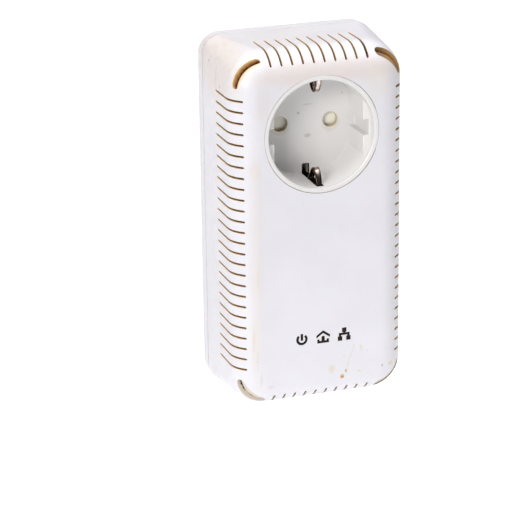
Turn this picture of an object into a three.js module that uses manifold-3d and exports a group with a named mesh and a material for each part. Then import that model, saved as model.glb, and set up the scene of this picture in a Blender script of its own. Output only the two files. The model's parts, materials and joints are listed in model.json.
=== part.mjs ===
// Pass-through powerline network adapter: a wall plug and a wall socket back to back,
// with a network board and its mains power supply in the lower half of the case.
// Millimetres. X to the right, Y to the rear (the wall), Z up. The front face looks along -Y.
import * as THREE from 'three';
import { mergeVertices } from 'three/addons/utils/BufferGeometryUtils.js';
import Module from 'manifold-3d';

const wasm = await Module();
wasm.setup();

// ---- driving dimensions ----
const CASE = { halfWidth: 32.5, height: 132.4, wall: 2.2, rearEdge: 1 };
const FILLET = { side: 9.8, end: 11.4 };
const CORNER = { front: 12.5, parting: 6.5, rear: 8 };
const FRONT_Y = -39;
const PARTING_Y = -3.2;
const REAR_Y = 2.8;
const PARTING_GAP = 0.3;
const GAP = 0.3;

const SOCKET_Z = 102;
const PIN_X = 9.5;
const RECESS = { mouth: 19.64, floor: 19.3, depth: 17.75, ring: 21.38, floorWall: 1.6 };
const FLANGE = { radius: 22.1, setBack: 0.9, thickness: 1.5 };
const PAD = { x: 16.65, halfHeight: 10.4, setBack: 3.3, grooveHalf: 2.83 };
const PIN_HOLE_R = 2.9;
const EARTH_SLOT = { halfWidth: 1.5, innerR: 15.5, frontY: -37 };

const PLUG = { radius: 18.5, faceY: 20, flatX: 16.3, ribHalf: 2.6, wall: 1.9, faceWall: 3 };
const PIN = { radius: 2.4, tipY: 39 };

const VENT = { width: 0.8, pitch: 4, sideCount: 26, endCount: 10, rearDepth: 21.1 };
const VENT_START = { side: 4, end: 4.8 };
const CRESCENT = { fromDeg: 44.5, toDeg: 61, endInset: 0.2 };

const BOARD = { frontY: -4, thickness: 1.6, halfWidth: 28, bottom: 4.2, top: 79 };
const SCREW = { x: 24, lowZ: 10.3, highZ: 122.1, bossR: 3, pilotR: 1.6, clearR: 1.7 };
const ICON = { z: 25.7, pitch: 8.3, radius: 1.75, clearance: 0.15 };
const JACK = { halfWidth: 8, frontY: -17.4, bottom: 0.9, top: 22, shield: 0.3 };
const BUTTON = { x: -16, y: -10.5, radius: 2.5, clearance: 0.3 };
const RESET = { x: 16, y: -7.2, holeR: 0.7 };

// ---- materials ----
const paint = (color, roughness, metalness = 0) =>
  new THREE.MeshStandardMaterial({ color, roughness, metalness });
const PAINT = {
  caseWhite: () => paint(0xe4e2ea, 0.45),
  insertWhite: () => paint(0xe0dfe2, 0.4),
  shutterCream: () => paint(0xd8d2bd, 0.5),
  innerPlastic: () => paint(0xd9d6cf, 0.55),
  blackPlastic: () => paint(0x1b1b1d, 0.5),
  nickel: () => paint(0xb9b6ac, 0.3, 1),
  brass: () => paint(0xc39a4a, 0.35, 1),
  steel: () => paint(0x9c9ea2, 0.35, 1),
  board: () => paint(0x1f5a34, 0.45),
  clear: () => paint(0xdfe5e6, 0.15),
  ledDome: () => paint(0xd9e2c4, 0.2),
  label: () => paint(0xc9ccd0, 0.5),
  ferrite: () => paint(0x37383c, 0.6),
  copper: () => paint(0xb5652b, 0.35, 1),
  yellowFilm: () => paint(0xcaa52f, 0.5),
  blueDisc: () => paint(0x2f5f9b, 0.5),
  aluminium: () => paint(0xa9adb3, 0.35, 1),
  brownWire: () => paint(0x6b3a20, 0.5),
  blueWire: () => paint(0x2a5aa8, 0.5),
  ceramic: () => paint(0xe6e3da, 0.3),
};

// ---- solids and geometries ----
function toSolid(geometry) {
  const bare = geometry.index ? geometry.toNonIndexed() : geometry.clone();
  bare.deleteAttribute('normal');
  bare.deleteAttribute('uv');
  const merged = mergeVertices(bare, 1e-4);
  const position = merged.attributes.position;
  const corner = [new THREE.Vector3(), new THREE.Vector3(), new THREE.Vector3()];
  const triangles = [];
  let volume = 0;
  for (let i = 0; i < merged.index.count; i += 3) {
    const [a, b, c] = [0, 1, 2].map((k) => merged.index.getX(i + k));
    if (a === b || b === c || c === a) continue;
    [a, b, c].forEach((v, k) => corner[k].fromBufferAttribute(position, v));
    volume += corner[0].dot(corner[1].clone().cross(corner[2]));
    triangles.push(a, b, c);
  }
  if (volume < 0) {
    for (let i = 0; i < triangles.length; i += 3) {
      [triangles[i + 1], triangles[i + 2]] = [triangles[i + 2], triangles[i + 1]];
    }
  }
  const mesh = new wasm.Mesh({
    numProp: 3,
    vertProperties: new Float32Array(position.array),
    triVerts: new Uint32Array(triangles),
  });
  return new wasm.Manifold(mesh);
}

function toGeometry(solid) {
  const mesh = solid.getMesh();
  const geometry = new THREE.BufferGeometry();
  const vertices = new THREE.BufferAttribute(new Float32Array(mesh.vertProperties), 3);
  geometry.setAttribute('position', vertices);
  geometry.setIndex(Array.from(mesh.triVerts));
  geometry.computeVertexNormals();
  return geometry;
}

const join = (first, ...rest) => rest.reduce((sum, solid) => sum.add(solid), first);
const cut = (first, ...rest) => rest.reduce((left, solid) => left.subtract(solid), first);

function box([x0, x1], [y0, y1], [z0, z1]) {
  const geometry = new THREE.BoxGeometry(x1 - x0, y1 - y0, z1 - z0);
  return toSolid(geometry.translate((x0 + x1) / 2, (y0 + y1) / 2, (z0 + z1) / 2));
}

const around = (centre, half) => [centre - half, centre + half];

function rodY(radius, [y0, y1], x, z, segments = 20) {
  const geometry = new THREE.CylinderGeometry(radius, radius, y1 - y0, segments);
  return toSolid(geometry.translate(x, (y0 + y1) / 2, z));
}

function rodZ(radius, [z0, z1], x, y, segments = 20) {
  const geometry = new THREE.CylinderGeometry(radius, radius, z1 - z0, segments);
  return toSolid(geometry.rotateX(Math.PI / 2).translate(x, y, (z0 + z1) / 2));
}

function rodX(radius, [x0, x1], y, z, segments = 20) {
  const geometry = new THREE.CylinderGeometry(radius, radius, x1 - x0, segments);
  return toSolid(geometry.rotateZ(Math.PI / 2).translate((x0 + x1) / 2, y, z));
}

// A profile of (radius, y) points turned around an axis along Y.
function turnedY(profile, x, z, segments = 40) {
  const points = profile.map(([r, y]) => new THREE.Vector2(r, y));
  return toSolid(new THREE.LatheGeometry(points, segments).translate(x, 0, z));
}

const outline = (points) => new THREE.Shape(points.map(([a, b]) => new THREE.Vector2(a, b)));

// An outline in X and Z, swept along Y.
function prismY(shape, [y0, y1], options = {}) {
  const settings = { depth: y1 - y0, bevelEnabled: false, curveSegments: 6, ...options };
  const geometry = new THREE.ExtrudeGeometry(shape, settings);
  return toSolid(geometry.rotateX(Math.PI / 2).translate(0, y1, 0));
}

// An outline in Y and Z, swept along X.
function prismX(shape, [x0, x1]) {
  const geometry = new THREE.ExtrudeGeometry(shape, { depth: x1 - x0, bevelEnabled: false });
  const cycle = new THREE.Matrix4().makeBasis(
    new THREE.Vector3(0, 1, 0), new THREE.Vector3(0, 0, 1), new THREE.Vector3(1, 0, 0));
  return toSolid(geometry.applyMatrix4(cycle).translate(x0, 0, 0));
}

// Corner radius of the case outline: it tightens from the front face to the parting line, and
// opens a little again behind it.
function cornerAt(y) {
  const { clamp, lerp } = THREE.MathUtils;
  const start = FRONT_Y + FILLET.side;
  const cover = clamp((y - start) / (PARTING_Y - start), 0, 1);
  const shell = clamp((y - PARTING_Y) / (REAR_Y - PARTING_Y), 0, 1);
  return lerp(lerp(CORNER.front, CORNER.parting, cover), CORNER.rear, shell);
}

// Points of the case outline at one depth, drawn in by a distance at the sides and at the ends.
function caseRing(y, sideInset, endInset = sideInset, steps = 6) {
  const corner = cornerAt(y);
  const x = CASE.halfWidth - corner;
  const centres = [[x, corner], [x, CASE.height - corner], [-x, CASE.height - corner], [-x, corner]];
  return centres.flatMap(([centreX, centreZ], quarter) => {
    const arc = [];
    for (let i = 0; i <= steps; i += 1) {
      const angle = (quarter - 1 + i / steps) * (Math.PI / 2);
      const reachX = (corner - sideInset) * Math.cos(angle);
      const reachZ = (corner - endInset) * Math.sin(angle);
      arc.push([centreX + reachX, y, centreZ + reachZ]);
    }
    return arc;
  });
}

// A solid through convex rings with equal point counts, closed by a flat face at each end.
function loft(rings) {
  const count = rings[0].length;
  const last = (rings.length - 1) * count;
  const triangles = [];
  for (let start = 0; start < last; start += count) {
    for (let i = 0; i < count; i += 1) {
      const a = start + i;
      const b = start + ((i + 1) % count);
      triangles.push(a, b, b + count, a, b + count, a + count);
    }
  }
  for (let i = 1; i < count - 1; i += 1) {
    triangles.push(0, i + 1, i, last, last + i, last + i + 1);
  }
  const geometry = new THREE.BufferGeometry();
  geometry.setAttribute('position', new THREE.Float32BufferAttribute(rings.flat(2), 3));
  geometry.setIndex(triangles);
  return toSolid(geometry);
}

// How far a rounded edge draws in at a depth behind the face.
function drawIn(radius, depth) {
  return depth < radius ? radius - Math.sqrt(radius ** 2 - (radius - depth) ** 2) : 0;
}

// Steps of depth that space a rounded edge evenly.
function roundDepths(radius, steps) {
  const marks = [];
  for (let i = 0; i <= steps; i += 1) {
    marks.push(radius * (1 - Math.cos((i / steps) * (Math.PI / 2))));
  }
  return marks;
}

// A block with the case outline, drawn in all round by an inset, and a rounded front edge.
function roundedFront(inset, endY, steps) {
  const side = FILLET.side - inset;
  const end = FILLET.end - inset;
  const front = roundDepths(end, steps).map((depth) => caseRing(
    FRONT_Y + inset + depth, inset + drawIn(side, depth), inset + drawIn(end, depth)));
  return loft([...front, caseRing(endY, inset)]);
}

const plainCase = (inset, range) => loft(range.map((y) => caseRing(y, inset)));

// ---- vents ----
// A thin plate that follows the rounded front edge, then runs back along the flat wall.
function ventCutter(half, fillet, startInset) {
  const centre = [half - fillet, FRONT_Y + fillet];
  const start = Math.asin((fillet - startInset) / fillet) - Math.PI / 2;
  const outerR = fillet + 1;
  const innerR = fillet - CASE.wall - 1;
  const rear = FRONT_Y + VENT.rearDepth;
  const shape = new THREE.Shape();
  shape.absarc(centre[0], centre[1], outerR, start, 0);
  shape.lineTo(centre[0] + outerR, rear);
  shape.lineTo(centre[0] + innerR, rear);
  shape.absarc(centre[0], centre[1], innerR, 0, start, true);
  const settings = { depth: VENT.width, bevelEnabled: false, curveSegments: 3 };
  return new THREE.ExtrudeGeometry(shape, settings).translate(0, 0, -VENT.width / 2);
}

function ventCutters() {
  const cutters = [];
  const middle = CASE.height / 2;
  const side = ventCutter(CASE.halfWidth, FILLET.side, VENT_START.side);
  const end = ventCutter(middle, FILLET.end, VENT_START.end).rotateY(-Math.PI / 2);
  for (const sign of [-1, 1]) {
    for (let i = 0; i < VENT.sideCount; i += 1) {
      const z = middle + (i - (VENT.sideCount - 1) / 2) * VENT.pitch;
      cutters.push(toSolid(side.clone().scale(sign, 1, 1).translate(0, 0, z)));
    }
    for (let i = 0; i < VENT.endCount; i += 1) {
      const x = (i - (VENT.endCount - 1) / 2) * VENT.pitch;
      cutters.push(toSolid(end.clone().scale(1, 1, sign).translate(x, 0, middle)));
    }
  }
  return cutters;
}

// A curved slot across each rounded corner, cut square to the surface.
function crescentCutters() {
  const { wall, halfWidth, height } = CASE;
  const fillet = (FILLET.side + FILLET.end) / 2;
  const corner = CORNER.front;
  const cornerR = corner - fillet;
  const point = (depth, degrees) => {
    const angle = THREE.MathUtils.degToRad(degrees);
    return [cornerR + depth * Math.sin(angle), FRONT_Y + fillet - depth * Math.cos(angle)];
  };
  const outer = fillet + 0.9;
  const inner = fillet - wall - 0.6;
  const { fromDeg, toDeg, endInset } = CRESCENT;
  const profile = [
    point(inner, fromDeg), point(outer, fromDeg), point(outer, toDeg), point(inner, toDeg),
    point(inner, fromDeg),
  ];
  const cutters = [];
  for (const signX of [-1, 1]) {
    for (const top of [false, true]) {
      const x = signX * (halfWidth - corner);
      const z = top ? height - corner : corner;
      const reachX = signX > 0 ? [x + endInset, x + corner + 2] : [x - corner - 2, x - endInset];
      const reachZ = top ? [z + endInset, z + corner + 2] : [z - corner - 2, z - endInset];
      const quadrant = box(reachX, [FRONT_Y - 5, FRONT_Y + 20], reachZ);
      cutters.push(turnedY(profile, x, z, 32).intersect(quadrant));
    }
  }
  return cutters;
}

// ---- indicator symbols ----
function discOutline(x, z, radius) {
  const shape = new THREE.Shape();
  shape.absarc(x, z, radius, 0, 2 * Math.PI);
  return shape;
}

function houseOutline(x, z, size) {
  const eaves = 0.1 * size;
  const base = -0.9 * size;
  return outline([
    [x - 0.8 * size, z + base], [x + 0.8 * size, z + base], [x + 0.8 * size, z + eaves],
    [x, z + size], [x - 0.8 * size, z + eaves],
  ]);
}

function networkOutline(x, z, size) {
  return outline([
    [x - size, z - size], [x + size, z - size], [x + size, z - 0.1 * size],
    [x + 0.4 * size, z + size], [x - 0.4 * size, z + size], [x - size, z - 0.1 * size],
  ]);
}

const INDICATORS = [
  { name: 'power', x: -ICON.pitch, outline: discOutline },
  { name: 'home', x: 0, outline: houseOutline },
  { name: 'network', x: ICON.pitch, outline: networkOutline },
];

// ---- case ----
const screwPlaces = [-SCREW.x, SCREW.x].flatMap((x) => [[x, SCREW.lowZ], [x, SCREW.highZ]]);

function frontCover() {
  const { wall } = CASE;
  const outer = roundedFront(0, PARTING_Y, 6);
  const hollow = roundedFront(wall, PARTING_Y + 1, 5);
  let shell = cut(outer, hollow, ...ventCutters(), ...crescentCutters());
  shell = cut(shell, rodY(RECESS.ring + GAP, [FRONT_Y - 1, FRONT_Y + 5], 0, SOCKET_Z, 48));
  for (const { x, outline: draw } of INDICATORS) {
    const size = ICON.radius + ICON.clearance;
    shell = cut(shell, prismY(draw(x, ICON.z, size), [FRONT_Y - 1, FRONT_Y + 5]));
  }
  for (const [x, z] of screwPlaces) {
    const boss = rodY(SCREW.bossR, [FRONT_Y + 2, PARTING_Y - GAP], x, z, 16);
    shell = cut(join(shell, boss), rodY(SCREW.pilotR, [-14, 0], x, z, 12));
  }
  const jackWindow = box([-8.4, 8.4], [JACK.frontY - GAP, 0], [-1, wall + 1]);
  const buttonHole = rodZ(BUTTON.radius + BUTTON.clearance, [-1, wall + 1], BUTTON.x, BUTTON.y);
  const resetHole = rodZ(RESET.holeR, [-1, wall + 1], RESET.x, RESET.y, 12);
  return cut(shell, jackWindow, buttonHole, resetHole);
}

function plugOutline(inset) {
  const radius = PLUG.radius - inset;
  const flat = PLUG.flatX - inset;
  const rib = Math.max(PLUG.ribHalf - inset, 0);
  const flatAngle = Math.acos(flat / radius);
  const shape = new THREE.Shape();
  shape.absarc(0, SOCKET_Z, radius, flatAngle, Math.PI - flatAngle);
  if (rib > 0) {
    shape.lineTo(-flat, SOCKET_Z + rib);
    shape.lineTo(-radius, SOCKET_Z + rib);
    shape.lineTo(-radius, SOCKET_Z - rib);
    shape.lineTo(-flat, SOCKET_Z - rib);
  }
  shape.absarc(0, SOCKET_Z, radius, Math.PI + flatAngle, 2 * Math.PI - flatAngle);
  if (rib > 0) {
    shape.lineTo(flat, SOCKET_Z - rib);
    shape.lineTo(radius, SOCKET_Z - rib);
    shape.lineTo(radius, SOCKET_Z + rib);
    shape.lineTo(flat, SOCKET_Z + rib);
  }
  return shape;
}

function rearShell() {
  const { wall, rearEdge } = CASE;
  const start = PARTING_Y + PARTING_GAP;
  const lipInset = wall + GAP;
  const lipWall = 1.2;
  const lipStart = start - 2.6;
  const innerY = REAR_Y - wall;
  const edge = roundDepths(rearEdge, 3).map(
    (depth) => caseRing(REAR_Y - depth, drawIn(rearEdge, depth)));
  const outer = loft([caseRing(start, 0), ...edge.reverse()]);
  let shell = join(outer, plainCase(lipInset, [lipStart, start + 1]));
  shell = cut(shell, plainCase(lipInset + lipWall, [lipStart - 1, innerY]));
  shell = join(shell, prismY(plugOutline(0), [innerY, PLUG.faceY], { curveSegments: 12 }));
  shell = cut(shell, prismY(plugOutline(PLUG.wall), [innerY - 1, PLUG.faceY - PLUG.faceWall]));
  for (const [x, z] of screwPlaces) {
    const standoff = rodY(SCREW.bossR, [PARTING_Y, innerY + 0.5], x, z, 16);
    const clear = rodY(SCREW.clearR, [PARTING_Y - 1, REAR_Y + 1], x, z, 12);
    const headPocket = rodY(3, [1, REAR_Y + 1], x, z, 16);
    shell = cut(join(shell, standoff), clear, headPocket);
  }
  for (const side of [-1, 1]) {
    shell = cut(shell, rodY(PIN.radius + GAP, [10, PLUG.faceY + 1], side * PIN_X, SOCKET_Z, 16));
    const strip = around(SOCKET_Z + side * 17, 3.8);
    shell = cut(shell, box([-3.3, 3.3], [4.3, PLUG.faceY + 1], strip));
  }
  const jackNotch = box([-9, 9], [lipStart - 1, start - 0.1], [0.1, 6]);
  const labelRecess = box([-20.3, 20.3], [REAR_Y - 0.3, REAR_Y + 1], [29.7, 70.3]);
  return cut(shell, jackNotch, labelRecess);
}

function lightGuide({ x, outline: draw }) {
  const stem = rodY(1.4, [FRONT_Y + 3, BOARD.frontY - 1.6], x, ICON.z, 12);
  return join(prismY(draw(x, ICON.z, ICON.radius), [FRONT_Y + 0.1, FRONT_Y + 4]), stem);
}

// ---- socket ----
function socketInsert() {
  const floorY = FRONT_Y + RECESS.depth;
  const backY = floorY + RECESS.floorWall;
  const flangeY = FRONT_Y + CASE.wall + FLANGE.setBack;
  const flangeEnd = flangeY + FLANGE.thickness;
  const profile = [
    [0, floorY], [RECESS.floor, floorY], [RECESS.mouth, FRONT_Y + 0.7],
    [RECESS.mouth + 0.45, FRONT_Y], [RECESS.ring - 0.35, FRONT_Y], [RECESS.ring, FRONT_Y + 0.5],
    [RECESS.ring, flangeY], [FLANGE.radius, flangeY], [FLANGE.radius, flangeEnd],
    [RECESS.ring, flangeEnd], [RECESS.ring, backY], [0, backY],
  ];
  let insert = turnedY(profile, 0, SOCKET_Z, 48);
  const wallCore = rodY(RECESS.floor + 1, [FRONT_Y, backY], 0, SOCKET_Z, 48);
  for (const side of [-1, 1]) {
    const reach = side > 0 ? [PAD.x, 22] : [-22, -PAD.x];
    const padY = [FRONT_Y + PAD.setBack, floorY + 0.5];
    const pad = box(reach, padY, around(SOCKET_Z, PAD.halfHeight)).intersect(wallCore);
    const grooveReach = side > 0 ? [PAD.x - 1, RECESS.floor - 0.4] : [0.4 - RECESS.floor, 1 - PAD.x];
    const groove = box(grooveReach, [FRONT_Y, floorY], around(SOCKET_Z, PAD.grooveHalf));
    insert = join(insert, cut(pad, groove));
  }
  for (const side of [-1, 1]) {
    const holeY = [floorY - 1, backY + 1];
    const slotZ = side > 0 ? [EARTH_SLOT.innerR, 25] : [-25, -EARTH_SLOT.innerR];
    const slot = box([-EARTH_SLOT.halfWidth, EARTH_SLOT.halfWidth],
      [EARTH_SLOT.frontY, backY + 1], slotZ.map((z) => SOCKET_Z + z));
    const hole = rodY(PIN_HOLE_R, holeY, side * PIN_X, SOCKET_Z, 20);
    const post = rodY(1.5, [backY - 0.5, backY + 2], 0, SOCKET_Z + side * 12, 12);
    insert = join(cut(insert, hole, slot), post);
  }
  return insert;
}

const SHUTTER_Y = [FRONT_Y + RECESS.depth + RECESS.floorWall + GAP, -17.55];
const CARRIER_Y = [SHUTTER_Y[1] + GAP, -15.25];

// Two blades on a hub. Each blade hides one pin hole.
function shutter() {
  const half = THREE.MathUtils.degToRad(19);
  const shape = new THREE.Shape();
  for (const turn of [0, Math.PI]) {
    shape.absarc(0, SOCKET_Z, 13.2, turn - half, turn + half);
    shape.absarc(0, SOCKET_Z, 4, turn + half, turn + Math.PI - half);
  }
  const blades = prismY(shape, SHUTTER_Y, { curveSegments: 4 });
  return join(blades, rodY(1.7, [SHUTTER_Y[1] - 0.5, -13.2], 0, SOCKET_Z, 16));
}

function shutterSpring() {
  const turns = 2.5;
  const radius = 2.9;
  const rise = 1.1;
  const steps = 30;
  const points = [];
  for (let i = 0; i <= steps; i += 1) {
    const angle = (i / steps) * turns * 2 * Math.PI;
    const y = -14.8 + (i / steps) * rise;
    points.push(new THREE.Vector3(radius * Math.cos(angle), y, radius * Math.sin(angle)));
  }
  const path = new THREE.CatmullRomCurve3(points);
  const wire = discOutline(0, 0, 0.18);
  const settings = { steps: 44, extrudePath: path, curveSegments: 3 };
  return toSolid(new THREE.ExtrudeGeometry(wire, settings).translate(0, 0, SOCKET_Z));
}

function contactCarrier() {
  let carrier = rodY(20.4, CARRIER_Y, 0, SOCKET_Z, 40);
  for (const side of [-1, 1]) {
    const tubeX = around(side * PIN_X, 4.9);
    const wellX = around(side * PIN_X, 3.8);
    const tube = box(tubeX, [CARRIER_Y[1] - 0.5, -2.4], around(SOCKET_Z, 4.4));
    carrier = join(carrier, tube);
    carrier = cut(carrier, box(wellX, [CARRIER_Y[0] - 1, -1], around(SOCKET_Z, 3.3)));
  }
  for (const side of [-1, 1]) {
    const notchZ = side > 0 ? [18, 22] : [-22, -18];
    carrier = cut(carrier, box([-1.7, 1.7], [-19, -14], notchZ.map((z) => SOCKET_Z + z)));
  }
  return cut(carrier, rodY(2.1, [-19, -14], 0, SOCKET_Z, 16));
}

// A fork of two spring leaves on a base plate, with a wire tab below.
function forkContact(side) {
  const leaf = (sign) => outline([
    [2.4, -1.6], [2.4, -8], [1.9, -11.5], [2.7, -14.4], [3.2, -14.4], [2.5, -11.4],
    [3, -8], [3, -1.6],
  ].map(([x, y]) => [side * PIN_X + sign * x, -y]));
  const flat = (sign) => {
    const geometry = new THREE.ExtrudeGeometry(leaf(sign), { depth: 5.2, bevelEnabled: false });
    return toSolid(geometry.scale(1, -1, 1).translate(0, 0, SOCKET_Z - 2.6));
  };
  const base = box(around(side * PIN_X, 3), [-2, -1.2], around(SOCKET_Z, 2.6));
  const tab = box(around(side * PIN_X, 1.6), [-2, -1.2], [SOCKET_Z - 11, SOCKET_Z]);
  return join(base, flat(-1), flat(1), tab);
}

// A bent strip: its tail lies behind the recess wall and its bow stands into the recess.
function earthClip(side) {
  const route = [[-0.5, 20.9], [-8, 20.9], [-16, 20.9], [-24, 20.9], [-26, 20], [-28.6, 17.2],
    [-30.6, 14.9], [-32.4, 14.3], [-34, 15.6], [-35.2, 18], [-35.9, 20.2]];
  const half = 0.35;
  const normalAt = (i) => {
    const [y0, r0] = route[Math.max(i - 1, 0)];
    const [y1, r1] = route[Math.min(i + 1, route.length - 1)];
    const length = Math.hypot(y1 - y0, r1 - r0);
    return [-(r1 - r0) / length, (y1 - y0) / length];
  };
  const offset = (amount) => route.map(([y, r], i) => {
    const [ny, nr] = normalAt(i);
    return [y + amount * ny, SOCKET_Z + side * (r + amount * nr)];
  });
  return prismX(outline([...offset(half), ...offset(-half).reverse()]), [-1.1, 1.1]);
}

function earthStrap() {
  const inner = box([-2.2, 2.2], [-1.1, -0.4], around(SOCKET_Z, 20));
  const outer = box([-2.2, 2.2], [4, 4.8], around(SOCKET_Z, 13.1));
  return join(inner, outer, rodY(1.5, [-0.8, 4.4], 0, SOCKET_Z, 12));
}

// ---- plug ----
function plugPin(side) {
  const { radius, tipY } = PIN;
  const tip = 1.6;
  const profile = [
    [0, -0.9], [2, -0.9], [2, 13.5], [3.4, 13.5], [3.4, 16.7], [radius, 16.7],
    [radius, tipY - tip], [radius - 0.5, tipY - 0.5], [radius - tip, tipY], [0, tipY],
  ];
  return turnedY(profile, side * PIN_X, SOCKET_Z, 20);
}

function plugEarthContact(side) {
  const level = (r) => SOCKET_Z + side * r;
  const shape = outline([
    [4.6, level(13.5)], [5.6, level(13.5)], [5.6, level(17.2)], [19, level(17.2)],
    [19.6, level(17.6)], [19.6, level(18)], [19, level(18.2)], [4.6, level(18.2)],
  ]);
  return prismX(shape, [-3, 3]);
}

// ---- boards and parts ----
const ON_BOARD = BOARD.frontY - 0.1;

function mainBoard() {
  const { frontY, thickness, halfWidth, bottom, top } = BOARD;
  const shape = outline([
    [-halfWidth, bottom + 5], [5 - halfWidth, bottom], [halfWidth - 5, bottom],
    [halfWidth, bottom + 5], [halfWidth, top], [-halfWidth, top],
  ]);
  const plate = prismY(shape, [frontY, frontY + thickness]);
  const notches = [-1, 1].map((side) => {
    const reach = side > 0 ? [SCREW.x, halfWidth + 1] : [-halfWidth - 1, -SCREW.x];
    const slot = box(reach, [-5, -1], around(SCREW.lowZ, SCREW.bossR + 0.4));
    return join(slot, rodY(SCREW.bossR + 0.4, [-5, -1], side * SCREW.x, SCREW.lowZ, 16));
  });
  return cut(plate, ...notches);
}

const onBoard = (x, z, height) => box(x, [ON_BOARD - height, ON_BOARD], z);

function fuse() {
  const body = rodX(2.5, [-26, -11], -7.4, 71, 16);
  const caps = [[-26.6, -22], [-15, -10.4]].map((x) => rodX(2.9, x, -7.4, 71, 16));
  return join(body, ...caps);
}

function varistor() {
  const leads = [-3.75, 3.75].map((dz) => rodY(0.4, [-9, ON_BOARD], 20, 71 + dz, 8));
  return join(rodX(6, [18, 22], -12.4, 71, 24), ...leads);
}

const CHOKE = { x: -18, z: 57, inner: 4, outer: 9, y: [-14, -6] };

function ring(inner, outer, [y0, y1], segments = 32) {
  const profile = [[inner, y0], [outer, y0], [outer, y1], [inner, y1], [inner, y0]];
  return turnedY(profile, CHOKE.x, CHOKE.z, segments);
}

function chokeWinding(side) {
  const { inner, outer, y: [y0, y1], x, z } = CHOKE;
  const layer = 0.5;
  const grow = (amount) => ring(inner - amount, outer + amount, [y0 - amount, y1 + amount]);
  const sleeve = cut(grow(GAP + layer), grow(GAP));
  const reach = side > 0 ? [x + 1.5, x + 12] : [x - 12, x - 1.5];
  return sleeve.intersect(box(reach, [y0 - 2, y1 + 2], around(z, 12)));
}

function transformerCore() {
  const y = [-14.5, -9];
  const frame = cut(box([-8, 8], y, [49.5, 64.5]), box([-5.6, 5.6], [-16, -8], [52, 62]));
  return join(frame, box([-1.8, 1.8], y, [51, 63]));
}

function transformerBobbin() {
  const block = box([-5.2, 5.2], [-18.5, -5], [52.4, 61.6]);
  return cut(block, box([-2.1, 2.1], [-14.9, -8.6], [50, 64]));
}

function heatsink() {
  const base = box([-20, -4], [-7.6, -6.1], [30, 46]);
  const fins = [0, 1, 2, 3, 4].map((i) => {
    const x = -20 + i * 3.7;
    return box([x, x + 1.2], [-14, -7], [30, 46]);
  });
  return join(base, ...fins);
}

// ---- network jack ----
function jackHousing() {
  const body = box([-7.4, 7.4], [-16.8, -4.6], [1, 21.4]);
  const mouth = box([-5.9, 5.9], [-14.2, -6.6], [0, 20]);
  const latch = box([-3.2, 3.2], [-15.8, -13], [0, 12]);
  return cut(body, mouth, latch);
}

function jackShield() {
  const { halfWidth, frontY, bottom, top, shield } = JACK;
  const outer = box([-halfWidth, halfWidth], [frontY, -4.4], [bottom, top]);
  const inner = halfWidth - shield;
  return cut(outer, box([-inner, inner], [frontY + shield, 0], [bottom - 1, top - shield]));
}

function jackContacts() {
  const block = box([-5.5, 5.5], [-13.8, -7], [16, 19.7]);
  const finger = outline([[-8.4, 16.4], [-9.4, 8], [-8.2, 5.6], [-7.7, 5.9], [-8.7, 8.2], [-7.7, 16.4]]);
  const pitch = 1.02;
  const fingers = [];
  for (let i = 0; i < 8; i += 1) {
    fingers.push(prismX(finger, around((i - 3.5) * pitch, 0.22)));
  }
  return join(block, ...fingers);
}

// ---- push switches ----
function tactSwitch({ x, y }, radius) {
  const body = box(around(x, 3), [-10.2, ON_BOARD], [7, 11.5]);
  return cut(body, rodZ(radius + GAP, [6, 9.4], x, y, 16));
}

const PAIRING_PLUNGER = { x: BUTTON.x, y: -7.2 };

function pairingButton() {
  const { x, y, radius } = BUTTON;
  const cap = rodZ(radius, [0.3, 3.2], x, y);
  const flange = rodZ(3.4, [2.5, 3.6], x, y);
  return join(cap, flange, box(around(x, 1.5), [-11, -5.9], [3.3, 5.1]));
}

function caseScrew([x, z]) {
  const profile = [[0, -10], [1, -9.4], [1.25, -8.6], [1.25, 1.3], [2.6, 1.3], [2.6, 2], [2.1, 2.4],
    [0, 2.4]];
  const driveSlot = box(around(x, 2), [1.9, 3], around(z, 0.35));
  return cut(turnedY(profile, x, z, 16), driveSlot);
}

function wire(points) {
  const path = new THREE.CatmullRomCurve3(points.map((p) => new THREE.Vector3(...p)));
  const settings = { steps: 14, extrudePath: path, curveSegments: 4 };
  return toSolid(new THREE.ExtrudeGeometry(discOutline(0, 0, 0.9), settings));
}

// ---- assembly ----
const group = new THREE.Group();

function place(name, solid, material) {
  const mesh = new THREE.Mesh(toGeometry(solid), material);
  mesh.name = name;
  group.add(mesh);
}

place('front_cover', frontCover(), PAINT.caseWhite());
place('rear_shell', rearShell(), PAINT.caseWhite());
place('rating_label', box([-20, 20], [REAR_Y - 0.2, REAR_Y], [30, 70]), PAINT.label());
screwPlaces.forEach((spot, i) => place(`case_screw_${i + 1}`, caseScrew(spot), PAINT.steel()));

place('socket_insert', socketInsert(), PAINT.insertWhite());
place('shutter', shutter(), PAINT.shutterCream());
place('shutter_spring', shutterSpring(), PAINT.steel());
place('contact_carrier', contactCarrier(), PAINT.innerPlastic());
place('live_contact', forkContact(1), PAINT.brass());
place('neutral_contact', forkContact(-1), PAINT.brass());
place('earth_clip_top', earthClip(1), PAINT.nickel());
place('earth_clip_bottom', earthClip(-1), PAINT.nickel());
place('earth_strap', earthStrap(), PAINT.brass());

place('live_pin', plugPin(1), PAINT.nickel());
place('neutral_pin', plugPin(-1), PAINT.nickel());
place('plug_earth_contact_top', plugEarthContact(1), PAINT.nickel());
place('plug_earth_contact_bottom', plugEarthContact(-1), PAINT.nickel());

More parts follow.
